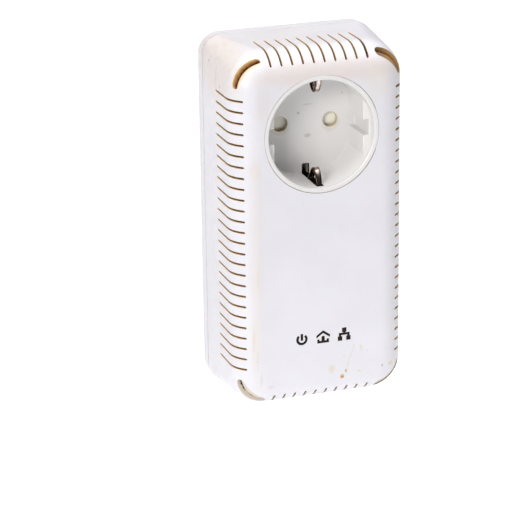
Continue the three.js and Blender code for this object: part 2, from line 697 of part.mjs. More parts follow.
place('main_board', mainBoard(), PAINT.board());
place('fuse', fuse(), PAINT.ceramic());
place('varistor', varistor(), PAINT.blueDisc());
place('x2_capacitor', onBoard([-9, 9], [66, 76], 15), PAINT.yellowFilm());
place('choke_core', ring(CHOKE.inner, CHOKE.outer, CHOKE.y), PAINT.ferrite());
place('choke_winding_left', chokeWinding(-1), PAINT.copper());
place('choke_winding_right', chokeWinding(1), PAINT.copper());
place('transformer_core', transformerCore(), PAINT.ferrite());
place('transformer_bobbin', transformerBobbin(), PAINT.yellowFilm());
place('bulk_capacitor', rodY(5, [-26, ON_BOARD], 18, 57, 24), PAINT.blackPlastic());
place('output_capacitor', rodY(3, [-15, ON_BOARD], -24.3, 34, 20), PAINT.blackPlastic());
place('bridge_rectifier', onBoard([24, 27.5], [53, 61], 6), PAINT.blackPlastic());
place('switching_chip', onBoard([-3, 2], [44.6, 48.6], 1.6), PAINT.blackPlastic());
place('optocoupler', onBoard([9.5, 14], [41, 47.5], 3.4), PAINT.blackPlastic());
place('coupling_transformer', onBoard([16, 25], [42.6, 50], 7), PAINT.blackPlastic());
place('powerline_chip', onBoard([-20, -4], [30, 46], 1.6), PAINT.blackPlastic());
place('heatsink', heatsink(), PAINT.aluminium());
place('memory_chip', onBoard([-1, 7], [30, 42], 1.2), PAINT.blackPlastic());
place('ethernet_chip', onBoard([13, 21], [29, 37], 1.2), PAINT.blackPlastic());
place('crystal', onBoard([12, 23], [38, 40.4], 3.4), PAINT.steel());
place('ethernet_transformer', onBoard([-26.5, -13.5], [16, 23], 5.8), PAINT.blackPlastic());

place('jack_housing', jackHousing(), PAINT.blackPlastic());
place('jack_shield', jackShield(), PAINT.steel());
place('jack_contacts', jackContacts(), PAINT.brass());

for (const indicator of INDICATORS) {
  const { name, x } = indicator;
  place(`${name}_led`, onBoard(around(x, 1), around(ICON.z, 0.6), 0.9), PAINT.ledDome());
  place(`${name}_light_guide`, lightGuide(indicator), PAINT.clear());
}

place('pairing_switch', tactSwitch(PAIRING_PLUNGER, 1), PAINT.blackPlastic());
place('pairing_plunger', rodZ(1, [5.4, 8.4], PAIRING_PLUNGER.x, PAIRING_PLUNGER.y, 16),
  PAINT.innerPlastic());
place('pairing_button', pairingButton(), PAINT.caseWhite());
place('reset_switch', tactSwitch(RESET, 0.9), PAINT.blackPlastic());
place('reset_plunger', rodZ(0.9, [5.2, 8.4], RESET.x, RESET.y, 16), PAINT.innerPlastic());

place('live_wire', wire([[9.5, -3.4, 92], [9.8, -4.6, 86], [11.5, -5.4, 77.5]]), PAINT.brownWire());
place('neutral_wire', wire([[-9.5, -3.4, 92], [-9.8, -4.6, 86], [-11.5, -5.4, 77.5]]),
  PAINT.blueWire());

export default group;
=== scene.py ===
"""Looks of a pass-through powerline adapter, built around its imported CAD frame.

Lengths are in millimetres until a mesh is made. X is to the right, Y to the rear, Z up.
"""

import itertools
import json
import math

import bmesh
import bpy
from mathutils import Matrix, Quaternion, Vector


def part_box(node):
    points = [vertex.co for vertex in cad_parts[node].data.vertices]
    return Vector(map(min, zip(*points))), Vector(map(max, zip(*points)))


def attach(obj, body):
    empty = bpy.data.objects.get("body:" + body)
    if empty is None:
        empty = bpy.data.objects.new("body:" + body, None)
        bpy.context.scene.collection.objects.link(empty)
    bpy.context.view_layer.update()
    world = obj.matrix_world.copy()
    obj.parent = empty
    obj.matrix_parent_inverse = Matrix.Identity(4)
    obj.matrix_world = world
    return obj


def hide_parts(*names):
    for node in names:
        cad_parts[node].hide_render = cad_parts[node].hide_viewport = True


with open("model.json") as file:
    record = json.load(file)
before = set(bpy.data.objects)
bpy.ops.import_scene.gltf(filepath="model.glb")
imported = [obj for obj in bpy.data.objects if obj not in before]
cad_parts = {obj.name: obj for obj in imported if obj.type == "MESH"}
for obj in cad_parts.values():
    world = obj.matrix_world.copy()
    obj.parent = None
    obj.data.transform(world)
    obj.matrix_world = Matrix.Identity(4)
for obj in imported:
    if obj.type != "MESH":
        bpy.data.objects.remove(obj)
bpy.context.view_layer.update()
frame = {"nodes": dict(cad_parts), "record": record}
MM = 0.001


def box_mm(node):
    low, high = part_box(node)
    return low / MM, high / MM


def middle_mm(node):
    low, high = box_mm(node)
    return (low + high) / 2


# ---- sizes taken from the frame ----
COVER_LOW, COVER_HIGH = box_mm("front_cover")
HALF_WIDTH = COVER_HIGH.x
HEIGHT = COVER_HIGH.z
MIDDLE_Z = HEIGHT / 2
FRONT = COVER_LOW.y
PARTING = COVER_HIGH.y
REAR = box_mm("rating_label")[1].y
SOCKET_Z = middle_mm("socket_insert").z
PLUG_FACE = box_mm("rear_shell")[1].y
PIN_X = middle_mm("live_pin").x

# ---- sizes of the mouldings, as in the CAD ----
WALL = 2.2
CORNER = {"front": 12.5, "parting": 6.5, "rear": 8.0}
FILLET = 9.8
FILLET_END = 11.4
REAR_EDGE = 1.0
CORNER_STEPS = 12
RING_R = 21.38
MOUTH_R = 19.64
FLOOR_R = 19.3
FLOOR_Y = FRONT + 17.75
VENT = {"width": 0.74, "pitch": 4.0, "side": 26, "end": 10, "rear": 21.1}
VENT_START = {"side": 4.0, "end": 4.8}
CRESCENT = {"depth": 4.1, "outer": 1.85, "inner": 2.65, "gap": 0.45, "first": 3.0, "last": 83.5}
PLUG_R = 18.5
PLUG_FLAT_X = 16.3
PLUG_RIB = 2.6
SEAM_CHAMFER = 0.12
SEAM_FRONT = -0.1
SEAM_REAR = 0.42
ICON_Z = 25.9
ICON_PITCH = 8.15


# ---- camera ----
CAMERA = {"azimuth": -18.51, "elevation": 19.16, "distance": 867.6, "roll": 0.80, "lens": 172.2}
TARGET = Vector((-25.2, FRONT, 59.96))


def make_camera():
    azimuth = math.radians(CAMERA["azimuth"])
    elevation = math.radians(CAMERA["elevation"])
    level = math.cos(elevation)
    back = Vector((math.sin(azimuth) * level, -math.cos(azimuth) * level, math.sin(elevation)))
    data = bpy.data.cameras.new("camera")
    data.sensor_width = 36
    data.lens = CAMERA["lens"]
    camera = bpy.data.objects.new("camera", data)
    camera.rotation_mode = "QUATERNION"
    roll = Quaternion((0, 0, 1), math.radians(-CAMERA["roll"]))
    camera.rotation_quaternion = (-back).to_track_quat("-Z", "Y") @ roll
    camera.location = (TARGET + back * CAMERA["distance"]) * MM
    bpy.context.scene.collection.objects.link(camera)
    bpy.context.scene.camera = camera


make_camera()


# ---- node materials ----
MATERIALS = {}


class Nodes:
    """A node tree whose nodes are added one by one."""

    def __init__(self, tree):
        self.tree = tree

    def add(self, kind, links=None, **settings):
        node = self.tree.nodes.new(kind)
        for key, value in settings.items():
            setattr(node, key, value)
        for socket, value in (links or {}).items():
            self.feed(node.inputs[socket], value)
        return node

    def feed(self, socket, value):
        if isinstance(value, bpy.types.NodeSocket):
            self.tree.links.new(value, socket)
        else:
            socket.default_value = value

    def math(self, operation, first, second=0.0):
        return self.add("ShaderNodeMath", {0: first, 1: second}, operation=operation).outputs[0]

    def times(self, first, second):
        return self.math("MULTIPLY", first, second)


class Surface(Nodes):
    """A Principled material, kept in MATERIALS under its name."""

    def __init__(self, name, **sockets):
        MATERIALS[name] = bpy.data.materials.new(name)
        MATERIALS[name].use_nodes = True
        super().__init__(MATERIALS[name].node_tree)
        self.shader = self.tree.nodes["Principled BSDF"]
        self.place = self.add("ShaderNodeTexCoord").outputs["Object"]
        for socket, value in sockets.items():
            self.set(socket.replace("_", " "), value)

    def set(self, name, value):
        self.feed(self.shader.inputs[name], value)

    def paint(self, colour):
        self.colour = colour
        self.set("Base Color", colour)

    def stain(self, amount, tint, strength=1.0):
        """Lays a tint over the colour so far."""
        self.paint(self.mix(self.times(amount, strength), self.colour, tint))

    def axis(self, name):
        return self.add("ShaderNodeSeparateXYZ", {0: self.place}).outputs[name]

    def vector(self, operation, first, second=(0, 0, 0)):
        links = {0: first, 1: second}
        return self.add("ShaderNodeVectorMath", links, operation=operation).outputs

    def noise(self, scale, detail=3.0, rough=0.55, stretch=None):
        place = self.place
        if stretch:
            place = self.add("ShaderNodeMapping", {"Vector": place, "Scale": stretch}).outputs[0]
        links = {"Vector": place, "Scale": scale, "Detail": detail, "Roughness": rough}
        return self.add("ShaderNodeTexNoise", links).outputs["Fac"]

    def ramp(self, value, low, high, start=0.0, end=1.0):
        links = {0: value, 1: low, 2: high, 3: start, 4: end}
        node = self.add("ShaderNodeMapRange", links, interpolation_type="SMOOTHSTEP")
        return node.outputs[0]

    def cloud(self, scale, detail=3.0, start=0.0, end=1.0):
        """Noise spread between two values."""
        return self.ramp(self.noise(scale, detail), 0.3, 0.7, start, end)

    def mix(self, amount, first, second):
        node = self.add("ShaderNodeMix", data_type="RGBA")
        self.feed(node.inputs[0], amount)
        for socket, value in ((node.inputs[6], first), (node.inputs[7], second)):
            self.feed(socket, value if isinstance(value, bpy.types.NodeSocket) else (*value, 1))
        return node.outputs[2]

    def bump(self, height, strength, distance):
        links = {"Height": height, "Strength": strength, "Distance": distance * MM}
        self.set("Normal", self.add("ShaderNodeBump", links).outputs[0])

    def patch(self, centre, radii, soft=0.5, ragged=0.35, scale=250.0):
        """1 inside a ragged ellipsoid of the given radii in millimetres, fading to 0 outside."""
        shift = self.vector("SUBTRACT", self.place, Vector(centre) * MM)[0]
        scaled = self.vector("MULTIPLY", shift, [1 / (r * MM) for r in radii])[0]
        length = self.vector("LENGTH", scaled)["Value"]
        wobble = self.times(self.math("SUBTRACT", self.noise(scale), 0.5), ragged * 2)
        return self.ramp(self.math("ADD", length, wobble), 1 + soft / 2, 1 - soft / 2)

    def streak(self, start, end, width, rear):
        """1 along a thin line between two (x, z) points, in front of a depth, and 0 off it."""
        run = (Vector(end) - Vector(start)) * MM
        length, reach = run.length, width * MM
        run.normalize()
        x = self.math("SUBTRACT", self.axis("X"), start[0] * MM)
        z = self.math("SUBTRACT", self.axis("Z"), start[1] * MM)
        along = self.math("ADD", self.times(x, run.x), self.times(z, run.y))
        across = self.math("SUBTRACT", self.times(x, run.y), self.times(z, run.x))
        wobble = self.cloud(350.0, 2.0, -reach / 2, reach / 2)
        off = self.math("ABSOLUTE", self.math("ADD", across, wobble))
        line = self.ramp(off, reach, reach / 4)
        line = self.times(line, self.ramp(along, 0.0, length * 0.1))
        line = self.times(line, self.ramp(along, length, length * 0.9))
        return self.times(line, self.math("LESS_THAN", self.axis("Y"), rear * MM))


def plastic(name, colour, shade, roughness, grain=2500.0, bump=0.06, drift=60.0):
    """Moulded plastic: slow colour drift, an even sheen with small changes, and fine grain."""
    look = Surface(name, IOR=1.5)
    look.paint(look.mix(look.ramp(look.noise(drift, 4.0), 0.35, 0.65), colour, shade))
    look.set("Roughness", look.cloud(drift * 6, 3.0, roughness - 0.05, roughness + 0.07))
    look.bump(look.noise(grain, 2.0), bump, 0.05)
    return look


def metal(name, colour, tarnish, roughness, amount=0.5, scale=400.0, brushed=None):
    """Bare or plated metal with tarnish and scratches."""
    look = Surface(name, Metallic=1.0)
    stain = look.ramp(look.noise(scale, 5.0, 0.65), 0.62 - amount * 0.3, 0.72)
    look.paint(look.mix(stain, colour, tarnish))
    fine = look.noise(scale * 5, 2.0, 0.5, brushed)
    level = look.ramp(fine, 0.3, 0.7, roughness * 0.75, roughness * 1.3)
    look.set("Roughness", look.math("ADD", level, look.times(stain, 0.2)))
    look.bump(fine, 0.15, 0.02)
    return look


def cloudy(name, near, far, scale=600.0, detail=3.0, **sockets):
    """A plain uneven colour."""
    look = Surface(name, **sockets)
    look.paint(look.mix(look.cloud(scale, detail), near, far))
    return look


def make_case_white():
    """Off-white moulding: cool white, faintly yellowed and stained where it was handled, with a painted
    shade along the left side near the top-left corner.
    """
    look = plastic("case_white", (0.570, 0.563, 0.602), (0.553, 0.546, 0.585), 0.42, 1900.0)
    pinkish = (0.545, 0.495, 0.480)
    cream = (0.545, 0.495, 0.440)
    rust = (0.24, 0.11, 0.02)
    brown = (0.43, 0.27, 0.055)
    beige = (0.52, 0.46, 0.34)
    grey = (0.33, 0.31, 0.33)
    stains_and_shade = [
        ((-31, -18, 127), (7, 19, 13), pinkish, 0.85, 1.0),
        ((-12, -18, HEIGHT), (30, 17, 5), cream, 0.18, 1.0),
        ((2, FRONT + 1, 124.5), (27, 5, 4.2), pinkish, 0.85, 0.9),
        ((22, FRONT, 121), (5, 3, 7), cream, 0.35, 0.9),
        ((-22, FRONT, 114), (3, 3, 6), pinkish, 0.40, 0.9),
        ((-25, FRONT, 91), (2, 3, 3.5), pinkish, 0.40, 0.9),
        ((-24.9, FRONT + 1, 58), (2.2, 3, 44), pinkish, 0.45, 1.0),
        ((-24.5, FRONT, 51), (0.45, 2, 3.8), cream, 0.70, 0.9),
        ((-26.0, FRONT + 1, 24), (1.2, 3, 10), cream, 0.38, 0.9),
        ((-26.2, FRONT + 1, 28), (0.5, 3, 4), brown, 0.12, 0.9),
        ((-24.9, FRONT + 1, 19), (0.4, 3, 4), grey, 0.12, 0.9),
        ((-23.6, FRONT + 1, 12.4), (0.4, 3, 2.6), grey, 0.22, 0.9),
        ((-20.0, FRONT, 9.0), (1.4, 3, 0.7), grey, 0.22, 0.9),
        ((-HALF_WIDTH, FRONT + 20.2, 122), (1, 0.35, 4.2), grey, 0.60, 0.8),
        ((-HALF_WIDTH, FRONT + 28, 125.3), (3, 0.8, 0.5), grey, 0.85, 0.6),
        ((-HALF_WIDTH, FRONT + 16, 118.5), (1, 0.9, 0.6), grey, 0.55, 0.7),
        # Painted shade: a faint grey patch along the left silhouette near the top-left corner.
        ((-HALF_WIDTH, -4, 123), (3, 3.5, 8), grey, 0.16, 1.0),
        ((7.4, FRONT, 9.4), (0.75, 2, 0.85), brown, 0.85, 0.5),
        ((7.5, FRONT, 9.1), (0.5, 2, 0.3), rust, 0.8, 0.5),
        ((8.8, FRONT, 11.5), (0.45, 2, 0.75), brown, 0.75, 0.5),
        ((3.3, FRONT, 12.8), (1.3, 2, 1.7), beige, 0.55, 0.8),
        ((13.9, FRONT, 10.7), (0.8, 2, 0.45), beige, 0.75, 0.6),
        ((26.5, FRONT + 1, 11.9), (1.0, 2, 0.7), beige, 0.75, 0.6),
        ((14.7, FRONT, 19.9), (0.6, 2, 1.3), beige, 0.50, 0.7),
        ((8.0, FRONT, 17.4), (0.5, 2, 0.5), beige, 0.45, 0.7),
        ((23.0, FRONT, 11.6), (0.42, 2, 0.55), grey, 0.80, 0.5),
    ]
    for centre, radii, tint, strength, soft in stains_and_shade:
        look.stain(look.patch(centre, radii, soft), tint, strength)
    look.stain(look.streak((8.9, 12.0), (12.4, 22.0), 0.42, FRONT + 1), beige, 0.5)
    spots = look.ramp(look.noise(420.0, 4.0, 0.65), 0.47, 0.62, 0.0, 0.55)
    handled = look.patch((-31, -16, 126), (6, 17, 12), 1.0)
    look.stain(look.times(handled, spots), (0.50, 0.45, 0.42))
    look.stain(look.ramp(look.noise(900.0, 1.0, 0.4), 0.775, 0.80), grey, 0.5)
    look.set("Subsurface Weight", 0.08)
    look.set("Subsurface Scale", 0.6 * MM)


def make_vent_wall(name, levels):
    """The walls of an opening, from (depth in mm, colour) pairs, a little cloudy: brown staining near
    the surface that deepens into a painted shade, near black, deep in the opening.
    """
    look = Surface(name, Roughness=0.6)
    depth = look.add("ShaderNodeAttribute", attribute_name="depth").outputs["Fac"]
    depth = look.times(depth, look.cloud(700.0, 3.0, 0.8, 1.2))
    # Painted shade at the upper right: the walls there take the deeper colours.
    painted_shade_upper_right = look.patch((28, FRONT + 4, HEIGHT - 6), (11, 9, 14), 0.3, 0.1)
    depth = look.math("MAXIMUM", depth, look.times(painted_shade_upper_right, 0.55))
    look.colour = levels[0][1]
    for (near, _), (far, tint) in zip(levels, levels[1:]):
        look.stain(look.ramp(depth, near, far), tint)
    # Painted light from the floor: low down, the shallower parts of the walls are painted paler.
    low = look.ramp(look.axis("Z"), 13 * MM, 10 * MM, 0.0, 0.85)
    look.stain(look.times(low, look.ramp(depth, 1.6, 1.1)), (0.44, 0.405, 0.355))
    lower_right = look.patch((HALF_WIDTH, FRONT, 0), (12, 12, 12), 0.3, 0.1)
    line = look.times(look.ramp(depth, 0.0, 0.1), look.ramp(depth, 0.5, 0.3))
    look.stain(look.times(lower_right, line), (0.19, 0.15, 0.12))
    # A dark brown over the walls: painted shade at the upper right, and a darker last slot there.
    last_slot = look.patch((21, FRONT + 4, HEIGHT - 1), (5, 8, 6), 0.9, 0.2)
    for place, strength in ((painted_shade_upper_right, 0.35), (last_slot, 0.6)):
        painted_shade_and_darkening = look.times(place, look.ramp(depth, 0.02, 0.2))
        look.stain(painted_shade_and_darkening, (0.10, 0.05, 0.02), strength)
    look.bump(look.noise(2500.0), 0.08, 0.05)


def make_socket_white():
    """Smoother moulding, greyer at its rim, with smudges, and dirt round the pin holes."""
    look = plastic("socket_white", (0.66, 0.648, 0.645), (0.645, 0.633, 0.628), 0.34, 1500.0,
                   0.02, 30.0)
    rim = look.ramp(look.axis("Y"), (FRONT + 2) * MM, (FRONT + 0.5) * MM)
    look.stain(rim, (0.575, 0.565, 0.565))
    for side in (-1, 1):
        dirt = look.patch((side * PIN_X, FLOOR_Y, SOCKET_Z - 1), (3.4, 1.5, 3.2), 0.5, 0.5)
        look.stain(dirt, (0.52, 0.46, 0.34), 0.4)
    smudges = [(-2.7, 105.5, (0.5, 1, 0.45), 0.5), (0.9, 96.9, (1.2, 1, 0.7), 0.4),
               (1.0, 108.4, (1.8, 1, 0.3), 0.25), (14.1, 111.3, (0.4, 1, 0.4), 0.35)]
    for x, z, radii, strength in smudges:
        smudge = look.patch((x, FLOOR_Y, z), radii, 0.9, 0.8, 700.0)
        look.stain(smudge, (0.22, 0.19, 0.17), strength)


def make_shutter_cream():
    """Ivory plastic, darker low down in each pin hole."""
    look = plastic("shutter_cream", (0.80, 0.79, 0.70), (0.76, 0.74, 0.64), 0.45)
    for side in (-1, 1):
        place = (side * PIN_X, FLOOR_Y, SOCKET_Z - 2.6)
        look.stain(look.patch(place, (2.6, 4, 0.8), 0.8, 0.7, 500.0), (0.34, 0.27, 0.14), 0.6)


def make_clip_metal():
    """Nickel-plated strip, bright in the middle; brown along its edges, both tarnish and a painted
    reflection of the dark slot; a painted shade, black and not metal, where it lies deep in its slot.
    """
    look = metal("clip_metal", (0.52, 0.50, 0.49), (0.26, 0.16, 0.09), 0.12, 0.55, 420.0)
    # Brown edges: tarnish, and a painted reflection of the dark slot beside the strip.
    wave = look.cloud(500.0, 2.0, -0.15 * MM, 0.15 * MM)
    off = look.math("ABSOLUTE", look.math("ADD", look.axis("X"), wave))
    look.stain(look.ramp(off, 0.35 * MM, 0.9 * MM), (0.12, 0.06, 0.03))
    # Painted shade: black and not metallic where the strip lies deep in its slot.
    sunk_painted_shade = look.ramp(look.axis("Y"), (FRONT + 11) * MM, (FRONT + 13) * MM)
    look.stain(sunk_painted_shade, (0.012, 0.009, 0.008))
    look.set("Metallic", look.math("SUBTRACT", 1.0, sunk_painted_shade))
    look.set("Specular IOR Level", look.math("SUBTRACT", 0.5, look.times(sunk_painted_shade, 0.5)))


def make_dark_lens():
    """Smoked clear plastic, dark when nothing shines behind it."""
    lens = cloudy("dark_lens", (0.012, 0.008, 0.007), (0.025, 0.016, 0.012), 900.0, IOR=1.40,
                  Specular_IOR_Level=0.08)
    lens.set("Roughness", lens.cloud(1800.0, 3.0, 0.45, 0.6))


def make_board_green():
    """Green solder resist with a faint grid of copper tracks below it."""
    look = Surface("board_green", Coat_Weight=0.3)
    links = {"Vector": look.place, "Scale": 620.0, "Randomness": 0.3}
    cells = look.add("ShaderNodeTexVoronoi", links, distance="CHEBYCHEV")
    tracks = look.ramp(cells.outputs["Distance"], 0.30, 0.36)
    look.paint(look.mix(tracks, (0.025, 0.16, 0.06), (0.015, 0.10, 0.035)))
    look.set("Roughness", look.cloud(300.0, 3.0, 0.28, 0.42))
    look.bump(tracks, 0.2, 0.03)


def make_winding():
    """Enamelled copper wire, turn beside turn."""
    look = Surface("winding_copper", Metallic=1.0)
    links = {"Vector": look.place, "Scale": 900.0, "Distortion": 0.4}
    turns = look.add("ShaderNodeTexWave", links, bands_direction="DIAGONAL").outputs["Fac"]
    look.paint(look.mix(turns, (0.30, 0.10, 0.03), (0.75, 0.33, 0.13)))
    look.set("Roughness", look.ramp(turns, 0.0, 1.0, 0.45, 0.22))
    look.bump(turns, 0.8, 0.2)


def make_plain_materials():
    """Materials that only need colours and numbers."""
    shadow = {"Roughness": 0.8, "Specular_IOR_Level": 0.1}
    # slot_dark: near-black walls, a painted shade for the earth-clip slots.
    cloudy("slot_dark", (0.006, 0.004, 0.003), (0.012, 0.008, 0.006), **shadow)
    cloudy("seam_shadow", (0.30, 0.285, 0.28), (0.36, 0.345, 0.34), **shadow)
    cloudy("hole_wall", (0.42, 0.34, 0.20), (0.55, 0.48, 0.34), **shadow)
    cloudy("inner_skin", (0.20, 0.11, 0.045), (0.30, 0.18, 0.08), 120.0, 4.0, Roughness=0.7)
    plastic("inner_plastic", (0.70, 0.68, 0.62), (0.64, 0.62, 0.55), 0.5)
    plastic("black_plastic", (0.018, 0.018, 0.020), (0.035, 0.035, 0.037), 0.5, 3000.0, 0.15)
    plastic("fuse_ceramic", (0.80, 0.78, 0.72), (0.74, 0.72, 0.66), 0.25)
    plastic("blue_disc", (0.03, 0.10, 0.30), (0.04, 0.13, 0.36), 0.32)
    plastic("yellow_film", (0.62, 0.42, 0.05), (0.55, 0.36, 0.04), 0.38)
    plastic("ferrite", (0.035, 0.035, 0.038), (0.06, 0.06, 0.062), 0.6, 1600.0, 0.3)
    plastic("led_body", (0.72, 0.76, 0.60), (0.66, 0.70, 0.55), 0.18)
    plastic("blank_label", (0.62, 0.63, 0.65), (0.58, 0.59, 0.61), 0.38)
    plastic("brown_wire", (0.10, 0.035, 0.015), (0.13, 0.05, 0.02), 0.45)
    plastic("blue_wire", (0.015, 0.05, 0.25), (0.02, 0.07, 0.30), 0.45)
    metal("contact_brass", (0.80, 0.58, 0.27), (0.42, 0.26, 0.11), 0.28, 0.35)
    metal("plated_metal", (0.70, 0.68, 0.64), (0.46, 0.41, 0.34), 0.24, 0.15)
    metal("steel", (0.56, 0.57, 0.60), (0.36, 0.36, 0.38), 0.3, 0.2)
    metal("aluminium", (0.72, 0.73, 0.75), (0.55, 0.56, 0.58), 0.34, 0.2, 300.0, (1, 1, 12))


make_case_white()
# Slot and crescent walls: brown staining near the surface, and painted shade, near black, in the deep
# levels.
make_vent_wall("slot_wall", [
    (0.0, (0.64, 0.54, 0.41)), (0.7, (0.46, 0.28, 0.12)), (2.0, (0.17, 0.075, 0.022))])
make_vent_wall("crescent_wall", [
    (0.0, (0.60, 0.57, 0.56)), (0.05, (0.56, 0.48, 0.38)), (0.25, (0.51, 0.345, 0.16)),
    (0.7, (0.38, 0.195, 0.05)), (1.3, (0.20, 0.08, 0.017)), (1.6, (0.05, 0.012, 0.004))])
make_socket_white()
make_shutter_cream()
make_clip_metal()
make_dark_lens()
make_board_green()
make_winding()
make_plain_materials()


# ---- mesh tools ----
def loft(rings, depths=None):
    """A closed skin through rings with the same number of points, and a flat face at each end.

    With depths, a list for each ring, the faces' corners carry them as an attribute.
    """
    mesh = bmesh.new()
    rows = [[mesh.verts.new(Vector(p) * MM) for p in ring] for ring in rings]
    count = len(rows[0])
    for first, second in zip(rows, rows[1:]):
        for i in range(count):
            j = (i + 1) % count
            mesh.faces.new((first[i], first[j], second[j], second[i]))
    mesh.faces.new(reversed(rows[0]))
    mesh.faces.new(rows[-1])
    bmesh.ops.recalc_face_normals(mesh, faces=mesh.faces)
    if depths:
        layer = mesh.loops.layers.float.new("depth")
        depth_of = {}
        for row, levels in zip(rows, depths):
            depth_of.update(zip(row, levels))
        for face in mesh.faces:
            for corner in face.loops:
                corner[layer] = depth_of[corner.vert]
    return mesh


def gather(meshes):
    """One bmesh from several that don't touch."""
    total = bmesh.new()
    for part in meshes:
        data = bpy.data.meshes.new("part")
        part.to_mesh(data)
        part.free()
        total.from_mesh(data)
        bpy.data.meshes.remove(data)
    return total


def make_object(name, mesh, material):
    data = bpy.data.meshes.new(name)
    mesh.to_mesh(data)
    mesh.free()
    data.materials.append(MATERIALS[material] if isinstance(material, str) else material)
    made = bpy.data.objects.new(name, data)
    bpy.context.scene.collection.objects.link(made)
    return made


def bake(made):
    """Applies the object's modifiers to its mesh."""
    graph = bpy.context.evaluated_depsgraph_get()
    data = bpy.data.meshes.new_from_object(made.evaluated_get(graph))
    old = made.data
    made.modifiers.clear()
    made.data = data
    data.name = made.name
    bpy.data.meshes.remove(old)


def combine(made, tool_mesh, operation, material=None):
    """Cuts or joins. The faces that the tool leaves have the material, or the object's own."""
    tool = make_object("tool", tool_mesh, material or made.data.materials[0])
    step = made.modifiers.new("combine", "BOOLEAN")
    step.object = tool
    step.operation = operation
    step.solver = "MANIFOLD"
    step.material_mode = "TRANSFER"
    bake(made)
    bpy.data.objects.remove(tool)


def carve(made, tool_mesh, material=None):
    combine(made, tool_mesh, "DIFFERENCE", material)


def weld_on(made, tool_mesh):
    combine(made, tool_mesh, "UNION")


def soften(made, limit, weighted=True):
    """Smooth shading with creases at real corners."""
    mesh = bmesh.new()
    mesh.from_mesh(made.data)
    bmesh.ops.remove_doubles(mesh, verts=mesh.verts, dist=0.0005 * MM)
    for face in mesh.faces:
        face.smooth = True
    for edge in mesh.edges:
        edge.smooth = edge.calc_face_angle(math.pi) < math.radians(limit)
    mesh.to_mesh(made.data)
    mesh.free()
    if weighted:
        step = made.modifiers.new("weighted_normals", "WEIGHTED_NORMAL")
        step.keep_sharp = True
        step.weight = 80


def bevel(made, width, segments=2, limit=40.0):
    step = made.modifiers.new("round_edges", "BEVEL")
    step.width = width * MM
    step.segments = segments
    step.limit_method = "ANGLE"
    step.angle_limit = math.radians(limit)
    step.use_clamp_overlap = True


def circle(radius, x, y, count):
    turns = [math.tau * i / count for i in range(count)]
    return [(x + radius * math.cos(t), y + radius * math.sin(t)) for t in turns]


def lathe(profile, x=0.0, z=0.0, count=64):
    """Rings of (radius, y) around an axis along Y, closed with a flat face at each end."""
    return loft([[(a, y, b) for a, b in circle(radius, x, z, count)] for radius, y in profile])


def lathe_z(profile, x, y, count=48):
    """Rings of (radius, z) around an axis along Z."""
    return loft([[(a, b, z) for a, b in circle(radius, x, y, count)] for radius, z in profile])


def quarter_turn(steps):
    """Angles from 0 to a right angle."""
    return [math.pi / 2 * i / steps for i in range(steps + 1)]


def arc(centre, radius, start, end, steps):
    """Points (a, b) on an arc, with angles in degrees."""
    angles = [math.radians(start + (end - start) * i / steps) for i in range(steps + 1)]
    return [(centre[0] + radius * math.cos(t), centre[1] + radius * math.sin(t)) for t in angles]


def prism(points, y0, y1):
    """An outline of (x, z) points between two depths."""
    return loft([[(x, y, z) for x, z in points] for y in (y0, y1)])


def rectangle(x0, x1, z0, z1):
    return [(x0, z0), (x1, z0), (x1, z1), (x0, z1)]


def rounded_rectangle(x0, x1, z0, z1, radius, steps=6):
    return (arc((x1 - radius, z0 + radius), radius, -90, 0, steps)
            + arc((x1 - radius, z1 - radius), radius, 0, 90, steps)
            + arc((x0 + radius, z1 - radius), radius, 90, 180, steps)
            + arc((x0 + radius, z0 + radius), radius, 180, 270, steps))


def block(x, y, z):
    """A box between (low, high) pairs."""
    return prism(rectangle(*x, *z), *y)


def finish_piece(made, node, body="case", crease=30.0):
    """Shades a piece, and lets it ride on a body in the place of a CAD node."""
    if crease:
        soften(made, crease)
    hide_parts(node)
    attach(made, body)


# ---- case shape ----
def corner_at(y):
    """Corner radius of the case outline: it tightens towards the parting line."""
    start = FRONT + FILLET
    cover = min(max((y - start) / (PARTING - start), 0), 1)
    shell = min(max((y - PARTING) / (REAR - PARTING), 0), 1)
    corner = CORNER["front"] + (CORNER["parting"] - CORNER["front"]) * cover
    return corner + (CORNER["rear"] - corner) * shell


def case_ring(y, side_inset, end_inset=None):
    """The case outline at one depth, drawn in at the sides and at the ends."""
    end_inset = side_inset if end_inset is None else end_inset
    corner = corner_at(y)
    x = HALF_WIDTH - corner
    centres = [(x, corner), (x, HEIGHT - corner), (-x, HEIGHT - corner), (-x, corner)]
    ring = []
    for quarter, (centre_x, centre_z) in enumerate(centres):
        for i in range(CORNER_STEPS + 1):
            turn = math.pi / 2 * (quarter - 1 + i / CORNER_STEPS)
            ring.append((centre_x + (corner - side_inset) * math.cos(turn), y,
                         centre_z + (corner - end_inset) * math.sin(turn)))
    return ring


def draw_in(radius, depth):
    """How far a rounded edge draws in at a depth behind its face."""
    return radius - math.sqrt(radius ** 2 - (radius - depth) ** 2) if depth < radius else 0.0


def round_depths(radius, steps):
    return [radius * (1 - math.cos(t)) for t in quarter_turn(steps)]


def rounded_front(inset, steps):
    """Rings of the rounded front edge of the case, offset inwards by an inset."""
    side, end = FILLET - inset, FILLET_END - inset
    return [case_ring(FRONT + inset + depth, inset + draw_in(side, depth),
                      inset + draw_in(end, depth)) for depth in round_depths(end, steps)]


def skin_level(point):
    """1 on the outer skin of the case, and less inside it."""
    corner = corner_at(point.y)
    depth = point.y - FRONT
    across = abs(point.x) - (HALF_WIDTH - corner)
    along = abs(point.z - MIDDLE_Z) - (MIDDLE_Z - corner)
    side = across / (corner - draw_in(FILLET, max(depth, 0)))
    end = along / (corner - draw_in(FILLET_END, max(depth, 0)))
    return math.hypot(max(side, 0), max(end, 0)) if side > 0 and end > 0 else max(side, end)


